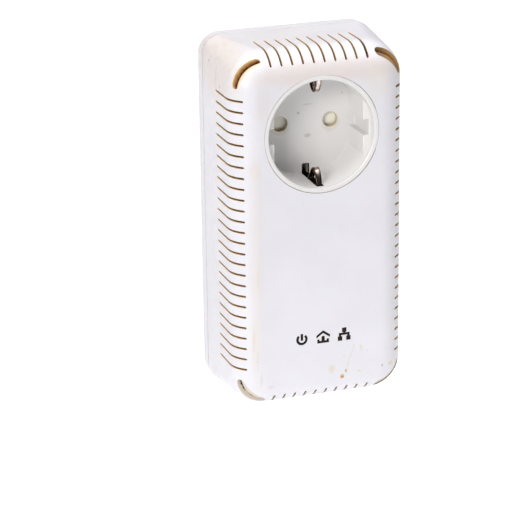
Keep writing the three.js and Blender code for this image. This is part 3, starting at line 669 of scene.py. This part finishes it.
def skin_normal(point):
    if point.y < FRONT + 0.004:
        return Vector((0, -1, 0))
    step = 0.002
    slope = []
    for axis in (Vector((step, 0, 0)), Vector((0, step, 0)), Vector((0, 0, step))):
        slope.append(skin_level(point + axis) - skin_level(point - axis))
    return Vector(slope).normalized()


def case_normals(made):
    """Exact normals on the outer skin of a case moulding, where faces have its first material."""
    data = made.data
    normals = [Vector(n.vector) for n in data.corner_normals]
    exact = {}
    for face in data.polygons:
        if face.material_index:
            continue
        for corner in face.loop_indices:
            index = data.loops[corner].vertex_index
            if index not in exact:
                exact[index] = skin_normal(data.vertices[index].co / MM)
            if exact[index].dot(face.normal) > 0.9:
                normals[corner] = exact[index]
    data.normals_split_custom_set(normals)


# ---- vents ----
def groove(stations, section, bend=None):
    """A cutter along a line on a look.

    Its section has (height over the surface, across, depth as the walls' colours count it). Each
    station is (point, outward, sideways, width share). The surface may bend sideways, with a
    radius.
    """
    rings, depths = [], []
    for point, outward, sideways, share in stations:
        ring = []
        for height, across, _ in section:
            drop = (across * share) ** 2 / (2 * bend) if bend else 0
            ring.append(point + outward * (height - drop) + sideways * across * share)
        rings.append(ring)
        # Narrow parts count as deeper, so their walls take darker colours: painted shade.
        darker = min(1 / share, 1.4)
        depths.append([depth * darker for _, _, depth in section])
    return loft(rings, depths)


def round_end(length, radius, steps=4):
    """(distance, width share) pairs that give both ends of a slot a half-round shape."""
    start = [(radius * (1 - math.cos(t)), max(math.sin(t), 0.06)) for t in quarter_turn(steps)]
    return start, [(length - d, s) for d, s in reversed(start)]


def vent_stations(half, fillet, start_inset):
    """Stations of one vent in (across, depth) terms, for a wall this far from the middle."""
    first = math.asin((fillet - start_inset) / fillet)
    curve = (math.pi / 2 - first) * fillet
    rear = VENT["rear"] - fillet
    length = curve + rear
    start, end = round_end(length, 0.5)
    between = [curve * i / 12 for i in range(1, 13)] + [curve + rear * 0.5]
    marks = start + [(d, 1.0) for d in between if start[-1][0] < d < end[0][0]] + end
    stations = []
    for distance, share in marks:
        turn = first + min(distance, curve) / fillet
        across = half - fillet + fillet * math.sin(turn)
        depth = FRONT + fillet - fillet * math.cos(turn) + max(distance - curve, 0)
        stations.append((across, depth, math.sin(turn), -math.cos(turn), share))
    return stations


def vent_cutters():
    half, edge, lift, deep = VENT["width"] / 2, 0.1, 0.6, WALL + 0.8
    section = [(-deep, -half, deep), (-edge, -half, edge), (lift, -half - edge - lift, 0),
               (lift, half + edge + lift, 0), (-edge, half, edge), (-deep, half, deep)]
    x, y, z = Vector((1, 0, 0)), Vector((0, 1, 0)), Vector((0, 0, 1))
    walls = (("side", HALF_WIDTH, FILLET, x, z), ("end", MIDDLE_Z, FILLET_END, z, x))
    cutters = []
    for wall, reach, fillet, out, row in walls:
        marks = vent_stations(reach, fillet, VENT_START[wall])
        for sign, i in itertools.product((-1, 1), range(VENT[wall])):
            place = z * MIDDLE_Z + row * (i - (VENT[wall] - 1) / 2) * VENT["pitch"]
            stations = [(place + out * sign * across + y * depth, out * sign * normal_out + y * normal_y,
                         row, share) for across, depth, normal_out, normal_y, share in marks]
            cutters.append(groove(stations, section))
    return gather(cutters)


def crescent_point(turn, sign_x, sign_z):
    """A point of the skin at the depth of the curved slots, at an angle around a corner."""
    corner = CORNER["front"]
    reach_x = corner - draw_in(FILLET, CRESCENT["depth"])
    reach_z = corner - draw_in(FILLET_END, CRESCENT["depth"])
    across = HALF_WIDTH - corner + reach_x * math.cos(turn)
    along = MIDDLE_Z - corner + reach_z * math.sin(turn)
    return Vector((sign_x * across, FRONT + CRESCENT["depth"], MIDDLE_Z + sign_z * along))


def crescent_section():
    """A sloping outer wall, a narrow gap, and a rounded lip on the side of the front face."""
    outer, inner, gap = CRESCENT["outer"], CRESCENT["inner"], CRESCENT["gap"]
    lift, deep, slope, lip = 0.6, WALL + 0.8, 1.9, 1.5
    rounded = [(lip * (math.sin(t) - 1), inner * (1 - math.cos(t)), 0.4 * (1 - math.sin(t)))
               for t in reversed(quarter_turn(8))]
    return [(-deep, -gap, deep), (-slope, -gap, slope), (-0.1, -outer, 0.1),
            (lift, -outer - lift, 0), (lift, inner + 1.2, 0), *rounded, (-deep, 0, deep)]


def crescent_cutters():
    """Curved slots across the four rounded corners, square to the surface, narrower at the ends."""
    cutters = []
    first, last = math.radians(CRESCENT["first"]), math.radians(CRESCENT["last"])
    fine_steps, steps = 200, 24
    for sign_x, sign_z in itertools.product((-1, 1), (-1, 1)):
        fine = [crescent_point(first + (last - first) * i / fine_steps, sign_x, sign_z)
                for i in range(fine_steps + 1)]
        travel = [0.0]
        for a, b in zip(fine, fine[1:]):
            travel.append(travel[-1] + (b - a).length)
        length = travel[-1]
        start, end = round_end(length, 1.5, 6)
        marks = start + [(length * i / steps, 1.0) for i in range(1, steps)
                         if start[-1][0] < length * i / steps < end[0][0]] + end
        stations = []
        for distance, share in marks:
            k = min(range(fine_steps), key=lambda i: abs(travel[i] - distance))
            point = fine[k]
            along = (fine[min(k + 1, fine_steps)] - fine[max(k - 1, 0)]).normalized()
            outward = skin_normal(point)
            inward = along.cross(outward)
            if inward.dot(Vector((0, FRONT, MIDDLE_Z)) - point) < 0:
                inward = -inward
            taper = 0.72 + 0.28 * math.sin(math.pi * distance / length)
            stations.append((point, outward, inward, share * taper))
        cutters.append(groove(stations, crescent_section(), FILLET))
    return gather(cutters)


# ---- indicator symbols ----
def power_symbol(x, z, grow):
    """A ring open at the top, and a short bar in the gap."""
    radius, half = 1.72, 0.46 + grow
    outer = arc((x, z), radius + half, 130, 410, 28)
    inner = arc((x, z), radius - half, 410, 130, 28)
    return [outer + inner, rectangle(x - half, x + half, z - 0.45 - grow, z + 2.1 + grow)]


def house_symbol(x, z, grow):
    """A roof over walls, with a round-topped door."""
    t = 0.50 + grow
    roof = [(x - 2.62, z + 0.12 - t), (x, z + 1.95 - t), (x + 2.62, z + 0.12 - t),
            (x + 2.62, z + 0.12 + t), (x, z + 1.95 + t), (x - 2.62, z + 0.12 + t)]
    h = 0.42 + grow
    out, into, gap = 1.82 + h, 1.82 - h, 0.62 + grow
    ground, sill, eaves = z - 1.95 - h, z - 1.95 + h, z - 0.85
    walls = [(x - out, ground), (x + out, ground), (x + out, eaves), (x + into, eaves),
             (x + into, sill), (x + gap, sill), *arc((x, z - 0.25), gap, 0, 180, 8),
             (x - gap, sill), (x - into, sill), (x - into, eaves), (x - out, eaves)]
    return [roof, walls]


def network_symbol(x, z, grow):
    """One square joined to two squares below it."""
    s = 0.83 + grow
    h = 0.43 + grow
    reach, low, high, level = 1.62, z - 1.62, z + 1.62, z + 0.1
    right = [(s, high + s), (s, high - s), (h, high - s), (h, level + h), (reach + h, level + h),
             (reach + h, low + s), (reach + s, low + s), (reach + s, low - s), (reach - s, low - s),
             (reach - s, low + s), (reach - h, low + s), (reach - h, level - h)]
    return [[(x + a, b) for a, b in right] + [(x - a, b) for a, b in reversed(right)]]


SYMBOLS = {
    "power": (-ICON_PITCH, power_symbol),
    "home": (0.0, house_symbol),
    "network": (ICON_PITCH, network_symbol),
}


def build_indicators():
    """Each light guide: its symbol, flush with the cover, on a stem that reaches the board."""
    for name, (x, draw) in SYMBOLS.items():
        node = f"{name}_light_guide"
        rear = box_mm(node)[1].y
        parts = [prism(points, FRONT + 0.03, FRONT + 2.6) for points in draw(x, ICON_Z, -0.02)]
        head = lathe([(0.1, FRONT + 2.7), (2.4, FRONT + 2.7), (2.5, FRONT + 2.8),
                      (2.5, FRONT + 3.9), (1.4, FRONT + 4.4), (1.4, rear), (0.1, rear)],
                     x, ICON_Z, 32)
        made = make_object(f"{name}_indicator", gather([*parts, head]), "dark_lens")
        finish_piece(made, node)


# ---- front cover ----
def build_front_cover():
    seam = SEAM_CHAMFER
    rear = PARTING + SEAM_FRONT
    rings = rounded_front(0, 24)
    rings += [case_ring(rear - seam, 0), case_ring(rear, seam), case_ring(rear, WALL - 0.1)]
    rings += [case_ring(rear - 0.1, WALL), *reversed(rounded_front(WALL, 12))]
    made = make_object("front_cover_moulding", loft(rings), "case_white")
    carve(made, vent_cutters(), "slot_wall")
    carve(made, crescent_cutters(), "crescent_wall")
    ring = RING_R + 0.06
    opening = lathe([(ring + 1.1, FRONT - 1), (ring, FRONT + 0.1), (ring, FRONT + 5)],
                    0, SOCKET_Z, 160)
    carve(made, opening)
    clip_pocket = block((-1.45, 1.45), (FRONT + 1.8, FRONT + 4.5), (SOCKET_Z + 21, SOCKET_Z + 23.6))
    carve(made, clip_pocket)
    for x, draw in SYMBOLS.values():
        for points in draw(x, ICON_Z, 0.03):
            carve(made, prism(points, FRONT - 1, FRONT + 5))
    jack_low, jack_high = box_mm("jack_shield")
    side = jack_high.x + 0.4
    carve(made, block((-side, side), (jack_low.y - 0.3, 5), (-1, WALL + 1)))
    button_x, button_y = middle_mm("pairing_button").x, box_mm("pairing_button")[0].y + 3.4
    carve(made, lathe_z([(4.1, -1), (2.8, 0.3), (2.8, WALL + 1)], button_x, button_y))
    reset = middle_mm("reset_plunger")
    carve(made, lathe_z([(1.7, -1), (0.7, 0.3), (0.7, WALL + 1)], reset.x, reset.y, 24))
    soften(made, 25.0, weighted=False)
    paint_inside(made)
    case_normals(made)
    finish_piece(made, "front_cover", crease=None)


def paint_inside(made):
    """Gives the hollow inside and the faces in the parting gap their own materials."""
    data = made.data
    inner = len(data.materials)
    for name in ("inner_skin", "seam_shadow"):
        data.materials.append(MATERIALS[name])
    for face in data.polygons:
        if face.material_index:
            continue
        centre = face.center / MM
        if abs(face.normal.y) > 0.99 and abs(centre.y - PARTING) < 0.5:
            face.material_index = inner + 1
        elif skin_level(centre) < 1 and face.normal.dot(skin_normal(centre)) < -0.1:
            face.material_index = inner


# ---- rear shell and plug ----
def plug_outline(inset, steps=20):
    """A circle with a flat on each side, and a rib down the middle of each flat."""
    radius, flat, rib = PLUG_R - inset, PLUG_FLAT_X - inset, PLUG_RIB - inset
    turn = math.degrees(math.acos(flat / radius))
    upper = arc((0, SOCKET_Z), radius, turn, 180 - turn, steps)
    lower = arc((0, SOCKET_Z), radius, 180 + turn, 360 - turn, steps)
    left = [(-flat, SOCKET_Z + rib), (-radius, SOCKET_Z + rib), (-radius, SOCKET_Z - rib),
            (-flat, SOCKET_Z - rib)]
    return upper + left + lower + [(-x, 2 * SOCKET_Z - z) for x, z in left]


def build_rear_shell():
    start = PARTING + SEAM_REAR
    lip_out, lip_in, lip_start = WALL + 0.35, WALL + 1.5, start - 2.6
    inner = REAR - WALL
    rings = [case_ring(REAR - depth, draw_in(REAR_EDGE, depth))
             for depth in round_depths(REAR_EDGE, 6)]
    rings += [case_ring(start + SEAM_CHAMFER, 0), case_ring(start, SEAM_CHAMFER),
              case_ring(start, lip_out), case_ring(lip_start, lip_out),
              case_ring(lip_start, lip_in), case_ring(inner, lip_in)]
    made = make_object("rear_shell_moulding", loft(rings), "case_white")
    round_face = [(0, PLUG_FACE - 0.9), (0.07, PLUG_FACE - 0.55), (0.26, PLUG_FACE - 0.26),
                  (0.55, PLUG_FACE - 0.07), (0.9, PLUG_FACE)]
    root = [(-0.5, REAR - 0.4), (-0.5, REAR), (-0.15, REAR + 0.15), (0, REAR + 0.5)]
    rings = [[(x, y, z) for x, z in plug_outline(inset)] for inset, y in root + round_face]
    weld_on(made, loft(rings))
    cutters = []
    for side in (-1, 1):
        pin = side * PIN_X
        cutters.append(lathe([(2.62, PLUG_FACE - 3.6), (2.62, PLUG_FACE - 0.3),
                              (2.95, PLUG_FACE + 0.05), (2.95, PLUG_FACE + 1)], pin, SOCKET_Z, 40))
        low, high = sorted((SOCKET_Z + side * 16.4, SOCKET_Z + side * 21))
        cutters.append(block((-3.3, 3.3), (4.3, PLUG_FACE + 1), (low, high)))
    for x, z in screw_places():
        cutters.append(lathe([(3.0, 1.0), (3.0, REAR - 0.25), (3.3, REAR + 0.05), (3.3, REAR + 1)],
                             x, z, 40))
    low, high = box_mm("rating_label")
    recess = rounded_rectangle(low.x - 0.3, high.x + 0.3, low.z - 0.3, high.z + 0.3, 1.4)
    cutters.append(prism(recess, REAR - 0.28, REAR + 1))
    carve(made, gather(cutters))
    soften(made, 25.0)
    paint_inside(made)
    finish_piece(made, "rear_shell", crease=None)


def screw_places():
    middles = [middle_mm(f"case_screw_{i}") for i in range(1, 5)]
    return [(middle.x, middle.z) for middle in middles]


def build_label():
    low, high = box_mm("rating_label")
    rings = []
    for inset, y in ((0, low.y + 0.02), (0, high.y - 0.05), (0.06, high.y)):
        shape = rounded_rectangle(low.x + inset, high.x - inset, low.z + inset, high.z - inset, 1.2)
        rings.append([(x, y, z) for x, z in shape])
    made = make_object("blank_rating_label", loft(rings), "blank_label")
    finish_piece(made, "rating_label")


def build_screws():
    """Pan heads with a cross recess, on plain shanks."""
    for i, (x, z) in enumerate(screw_places(), start=1):
        low, high = box_mm(f"case_screw_{i}")
        head, top = high.y - 1.05, high.y
        profile = [(0.2, low.y), (1.0, low.y + 0.7), (1.25, low.y + 1.4), (1.25, head),
                   (2.5, head), (2.6, head + 0.1), (2.55, top - 0.45), (2.2, top - 0.15),
                   (1.6, top - 0.03), (0.6, top)]
        made = make_object(f"case_screw_head_{i}", lathe(profile, x, z, 40), "steel")
        for first, second in (((-1.55, 1.55), (-0.33, 0.33)), ((-0.33, 0.33), (-1.55, 1.55))):
            carve(made, block([x + v for v in first], (top - 0.7, top + 1),
                              [z + v for v in second]))
        bevel(made, 0.06, 1, 50.0)
        finish_piece(made, f"case_screw_{i}")


def build_pins():
    """Round pins with domed tips."""
    for side, name in ((1, "live"), (-1, "neutral")):
        low, high = box_mm(f"{name}_pin")
        tip, radius, rise = high.y, 2.4, 1.7
        dome = [(radius * math.cos(t), tip - rise + rise * math.sin(t))
                for t in quarter_turn(8)[:-1]]
        profile = [(2.0, low.y), (2.0, PLUG_FACE - 3.2), (radius, PLUG_FACE - 3.1),
                   (radius, PLUG_FACE + 2), *dome, (0.25, tip)]
        made = make_object(f"{name}_plug_pin", lathe(profile, side * PIN_X, SOCKET_Z, 48),
                           "plated_metal")
        finish_piece(made, f"{name}_pin")


def build_plug_earths():
    """The two bare strips along the plug, each with two pressed ribs."""
    for side, name in ((1, "top"), (-1, "bottom")):
        node = f"plug_earth_contact_{name}"
        low, high = box_mm(node)
        outer, inner = 18.2, 17.2
        section = [(low.y, inner), (low.y, outer), (high.y - 0.8, outer), (high.y - 0.25, outer - 0.2),
                   (high.y, inner + 0.45), (high.y, inner + 0.15), (high.y - 0.3, inner)]
        rings = [[(x, y, SOCKET_Z + side * r) for y, r in section] for x in (-3.0, 3.0)]
        made = make_object(f"plug_earth_strip_{name}", loft(rings), "plated_metal")
        for x in (-1.5, 1.5):
            rib = loft([[(x + 0.45 * a, y, SOCKET_Z + side * (outer - 0.08) + 0.2 * b)
                         for a, b in circle(1, 0, 0, 12)] for y in (low.y + 2, high.y - 3)])
            weld_on(made, rib)
        bevel(made, 0.12)
        finish_piece(made, node)


# ---- socket ----
def build_socket_insert():
    back = box_mm("socket_insert")[1].y - 2
    flange = FRONT + WALL + 0.9
    lip = [(RING_R, FRONT + 0.2), (RING_R - 0.03, FRONT + 0.08), (RING_R - 0.08, FRONT + 0.02),
           (RING_R - 0.2, FRONT)]
    outer = [(0.2, FRONT), *reversed(lip), (RING_R, flange), (22.1, flange), (22.1, flange + 1.5),
             (RING_R, flange + 1.5), (RING_R, back), (0.2, back)]
    made = make_object("socket_moulding", lathe(outer, 0, SOCKET_Z, 160), "socket_white")
    mouth = [(MOUTH_R + 0.75, FRONT - 1), (MOUTH_R + 0.75, FRONT), (MOUTH_R + 0.42, FRONT + 0.08),
             (MOUTH_R + 0.18, FRONT + 0.28), (MOUTH_R, FRONT + 0.75)]
    hollow = [*mouth, (FLOOR_R, FLOOR_Y - 0.12), (FLOOR_R - 0.12, FLOOR_Y)]
    carve(made, lathe([(0.2, FRONT - 1), *hollow, (0.2, FLOOR_Y)], 0, SOCKET_Z, 160))
    for side in (-1, 1):
        weld_on(made, socket_pad(side))
    for side in (-1, 1):
        hole = lathe([(2.85, FLOOR_Y - 1), (2.85, FLOOR_Y), (2.7, FLOOR_Y + 0.15),
                      (2.7, back + 1)], side * PIN_X, SOCKET_Z, 64)
        carve(made, hole, "hole_wall")
        near, far = sorted((SOCKET_Z + side * 15.5, SOCKET_Z + side * 25))
        # The earth-clip slot walls get slot_dark, a painted shade.
        carve(made, block((-1.4, 1.4), (FRONT + 2, back + 1), (near, far)), "slot_dark")
        post = lathe([(1.5, back - 0.5), (1.5, back + 1.8), (1.3, back + 2)],
                     0, SOCKET_Z + side * 12, 24)
        weld_on(made, post)
    finish_piece(made, "socket_insert", crease=25.0)


def socket_pad(side):
    """A flat-faced guide in the side of the recess, with a groove down its middle."""
    near, far = 16.65, 20.3
    half, groove = 10.4, 2.83
    front = FRONT + 3.3
    x = sorted((side * near, side * 24))
    pad = make_object("pad", block(x, (front, FLOOR_Y + 0.5), (SOCKET_Z - half, SOCKET_Z + half)),
                      "socket_white")
    notch_x = sorted((side * (near - 1), side * (FLOOR_R - 0.4)))
    carve(pad, block(notch_x, (FRONT, FLOOR_Y), (SOCKET_Z - groove, SOCKET_Z + groove)))
    bevel(pad, 0.3, 3)
    bake(pad)
    combine(pad, lathe([(far, FRONT), (far, FLOOR_Y + 0.4)], 0, SOCKET_Z, 160), "INTERSECT")
    mesh = bmesh.new()
    mesh.from_mesh(pad.data)
    bpy.data.objects.remove(pad)
    return mesh


def smooth_route(bends, steps):
    """(first, second, direction) along a Catmull-Rom curve through 2D points."""
    points = [Vector(bend) for bend in bends]
    padded = [points[0], *points, points[-1]]
    route = []
    for p, q, r, s in zip(padded, padded[1:], padded[2:], padded[3:]):
        for t in (i / steps for i in range(steps)):
            route.append(0.5 * (2 * q + (r - p) * t + (2 * p - 5 * q + 4 * r - s) * t * t
                                + (3 * q - p - 3 * r + s) * t ** 3))
    route.append(points[-1])
    after, before = [*route[1:], route[-1]], [route[0], *route]
    return [(*here, (b - a).normalized()) for here, a, b in zip(route, before, after)]


def build_earth_clips():
    """Bent spring strips with rounded edges, whose bows stand into the recess."""
    bends = [(-0.5, 20.9), (-8, 20.9), (-16, 20.9), (-24, 20.9), (-26, 20), (-28.6, 17.2),
             (-30.6, 14.9), (-32.4, 14.3), (-34, 15.6), (-35.2, 18), (-35.9, 20.2)]
    route = smooth_route(bends, 5)
    half, thick, edge, crown = 1.15, 0.30, 0.2, 0.28
    section = [(a, b + crown * (1 - (a / half) ** 2))
               for a, b in rounded_rectangle(-half, half, -thick, thick, edge, 4)]
    for side, name in ((1, "top"), (-1, "bottom")):
        rings = []
        for i, (y, r, along) in enumerate(route):
            share = 1 - 0.25 * max(0, (i - len(route) + 8) / 8)
            rings.append([(a * share, y - along.y * b, SOCKET_Z + side * (r + along.x * b))
                          for a, b in section])
        made = make_object(f"earth_spring_{name}", loft(rings), "clip_metal")
        node = f"earth_clip_{name}"
        finish_piece(made, node, body=node, crease=50.0)


# ---- base ----
def build_jack():
    """A shielded modular jack that opens through the base."""
    low, high = box_mm("jack_shield")
    wall, bottom = 0.3, low.z
    shield = make_object("jack_can", block(*zip(low, high)), "steel")
    carve(shield, block((low.x + wall, high.x - wall), (low.y + wall, high.y + 1),
                        (bottom - 1, high.z - wall)))
    for side in (-1, 1):
        x = (side * high.x - 0.6, side * high.x + 0.6)
        for y in ((-13.2, -13.0), (-9.2, -9.0)):
            carve(shield, block(x, y, (bottom + 5, bottom + 12)))
        carve(shield, block(x, (-13.2, -9.0), (bottom + 12, bottom + 12.2)))
    bevel(shield, 0.08)
    finish_piece(shield, "jack_shield")

    low, high = box_mm("jack_housing")
    body = make_object("jack_moulding", block(*zip(low, high)), "black_plastic")
    for half, y, top in ((5.9, (-14.2, -6.6), 20), (3.2, (-15.8, -13), 12), (1.6, (-16.3, -15), 9)):
        carve(body, block((-half, half), y, (low.z - 1, top)))
    flare = [[(a, b, z) for a, b in rectangle(-w, w, -14.2 - d, -6.6 + d)]
             for z, w, d in ((low.z - 0.5, 6.7, 0.8), (low.z + 0.7, 5.9, 0.0))]
    carve(body, loft(flare))
    bevel(body, 0.12)
    finish_piece(body, "jack_housing")

    parts = [block((-5.5, 5.5), (-13.8, -7.0), (16, 19.7))]
    bends = [(-8.0, 16.3), (-8.6, 12.5), (-9.15, 8.6), (-9.1, 7.2), (-8.5, 6.1), (-7.95, 5.7)]
    section = rounded_rectangle(-0.22, 0.22, -0.16, 0.16, 0.08, 2)
    for i in range(8):
        x = (i - 3.5) * 1.02
        parts.append(loft([[(x + a, y - along.y * b, z + along.x * b) for a, b in section]
                           for y, z, along in smooth_route(bends, 4)]))
    made = make_object("jack_contact_springs", gather(parts), "contact_brass")
    finish_piece(made, "jack_contacts")


def build_button():
    """The pairing button: a domed cap with a dished finger face, a collar and a foot."""
    low, high = box_mm("pairing_button")
    x, y, tip = middle_mm("pairing_button").x, -10.5, low.z
    profile = [(0.3, tip + 0.25), (1.2, tip + 0.16), (1.8, tip + 0.02), (2.1, tip),
               (2.36, tip + 0.1), (2.5, tip + 0.4), (2.5, tip + 2.2), (3.4, tip + 2.2),
               (3.4, tip + 3.3), (0.3, tip + 3.3)]
    made = make_object("pairing_button_cap", lathe_z(profile, x, y), "case_white")
    weld_on(made, block((x - 1.5, x + 1.5), (low.y + 2.9, high.y), (3.3, high.z)))
    finish_piece(made, "pairing_button", body="pairing_button")


# ---- pieces that keep their CAD shape ----
ROUNDED = {
    0.08: ("live_contact", "neutral_contact"),
    0.1: (
        "earth_strap", "main_board", "memory_chip", "ethernet_chip", "power_led", "home_led",
        "network_led"),
    0.12: ("shutter", "heatsink"),
    0.15: (
        "choke_winding_left", "choke_winding_right", "switching_chip", "powerline_chip",
        "pairing_switch", "reset_switch", "pairing_plunger", "reset_plunger"),
    0.2: ("fuse", "optocoupler"),
    0.25: ("contact_carrier", "bridge_rectifier"),
    0.3: ("transformer_core", "crystal", "ethernet_transformer"),
    0.4: ("output_capacitor", "coupling_transformer"),
    0.5: ("varistor", "transformer_bobbin"),
    0.6: ("choke_core", "bulk_capacitor"),
    0.7: ("x2_capacitor",),
}


def dress_carried_over():
    slots = {s["node"]: s["material_slot"] for s in frame["record"]["subparts"]}
    widths = {name: width for width, names in ROUNDED.items() for name in names}
    for name, node in frame["nodes"].items():
        if node.hide_render:
            continue
        node.data.materials.clear()
        node.data.materials.append(MATERIALS[slots[name]])
        if name in widths:
            bevel(node, widths[name], 2, 35.0)
        for face in node.data.polygons:
            face.use_smooth = True
        step = node.modifiers.new("creases", "WEIGHTED_NORMAL")
        step.weight = 90


build_front_cover()
build_indicators()
build_rear_shell()
build_label()
build_screws()
build_pins()
build_plug_earths()
build_socket_insert()
build_earth_clips()
build_jack()
build_button()
dress_carried_over()


# ---- floor and light ----
def make_stage():
    """A grey table, with a pool of light that grows towards the object."""
    look = Surface("floor", Roughness=0.65)
    look.paint(look.mix(look.cloud(6.0), (0.31, 0.31, 0.31), (0.29, 0.29, 0.29)))
    look.set("Emission Color", (1, 1, 1, 1))
    pool_middle = (0.03, -0.06, 0)
    away = look.vector("DISTANCE", look.place, pool_middle)["Value"]
    look.set("Emission Strength", look.ramp(away, 0.14, 0.04, 0.76, 1.20))
    table = block((-3000, 3000), (-3000, 3000), (-20.0, -0.05))
    make_object("floor", table, "floor")


def make_world():
    """A white tent: bright overhead, dimmer to the sides, and only a white backdrop elsewhere."""
    world = bpy.data.worlds.new("world")
    world.use_nodes = True
    sky = Nodes(world.node_tree)
    generated = sky.add("ShaderNodeTexCoord").outputs["Generated"]
    x, _, z = sky.add("ShaderNodeSeparateXYZ", {0: generated}).outputs
    total = sky.times(sky.math("POWER", sky.math("MAXIMUM", z), 7.0), 6.5)
    total = sky.math("ADD", total, 0.03)
    for sign, strength in ((-1, 0.3), (1, 0.05)):
        level = sky.math("MAXIMUM", sky.times(x, sign))
        total = sky.math("ADD", total, sky.times(sky.math("POWER", level, 6.0), strength))
    total = sky.math("ADD", total, sky.add("ShaderNodeLightPath").outputs["Is Camera Ray"])
    background = sky.tree.nodes["Background"].inputs
    background["Color"].default_value = (1.0, 0.995, 0.99, 1)
    sky.feed(background["Strength"], total)
    bpy.context.scene.world = world


def light_key():
    """A large soft light from the left in front."""
    data = bpy.data.lights.new("key", "AREA")
    data.size = 0.6
    data.energy = 17.6
    data.color = (1.0, 0.99, 0.97)
    key = bpy.data.objects.new("key", data)
    key.location = (-1.03, -1.065, 0.65)
    target = Vector((0, 0, 0.06))
    key.rotation_mode = "QUATERNION"
    key.rotation_quaternion = (target - key.location).to_track_quat("-Z", "Y")
    bpy.context.scene.collection.objects.link(key)


make_stage()
make_world()
light_key()
bpy.context.scene.view_settings.view_transform = "Standard"
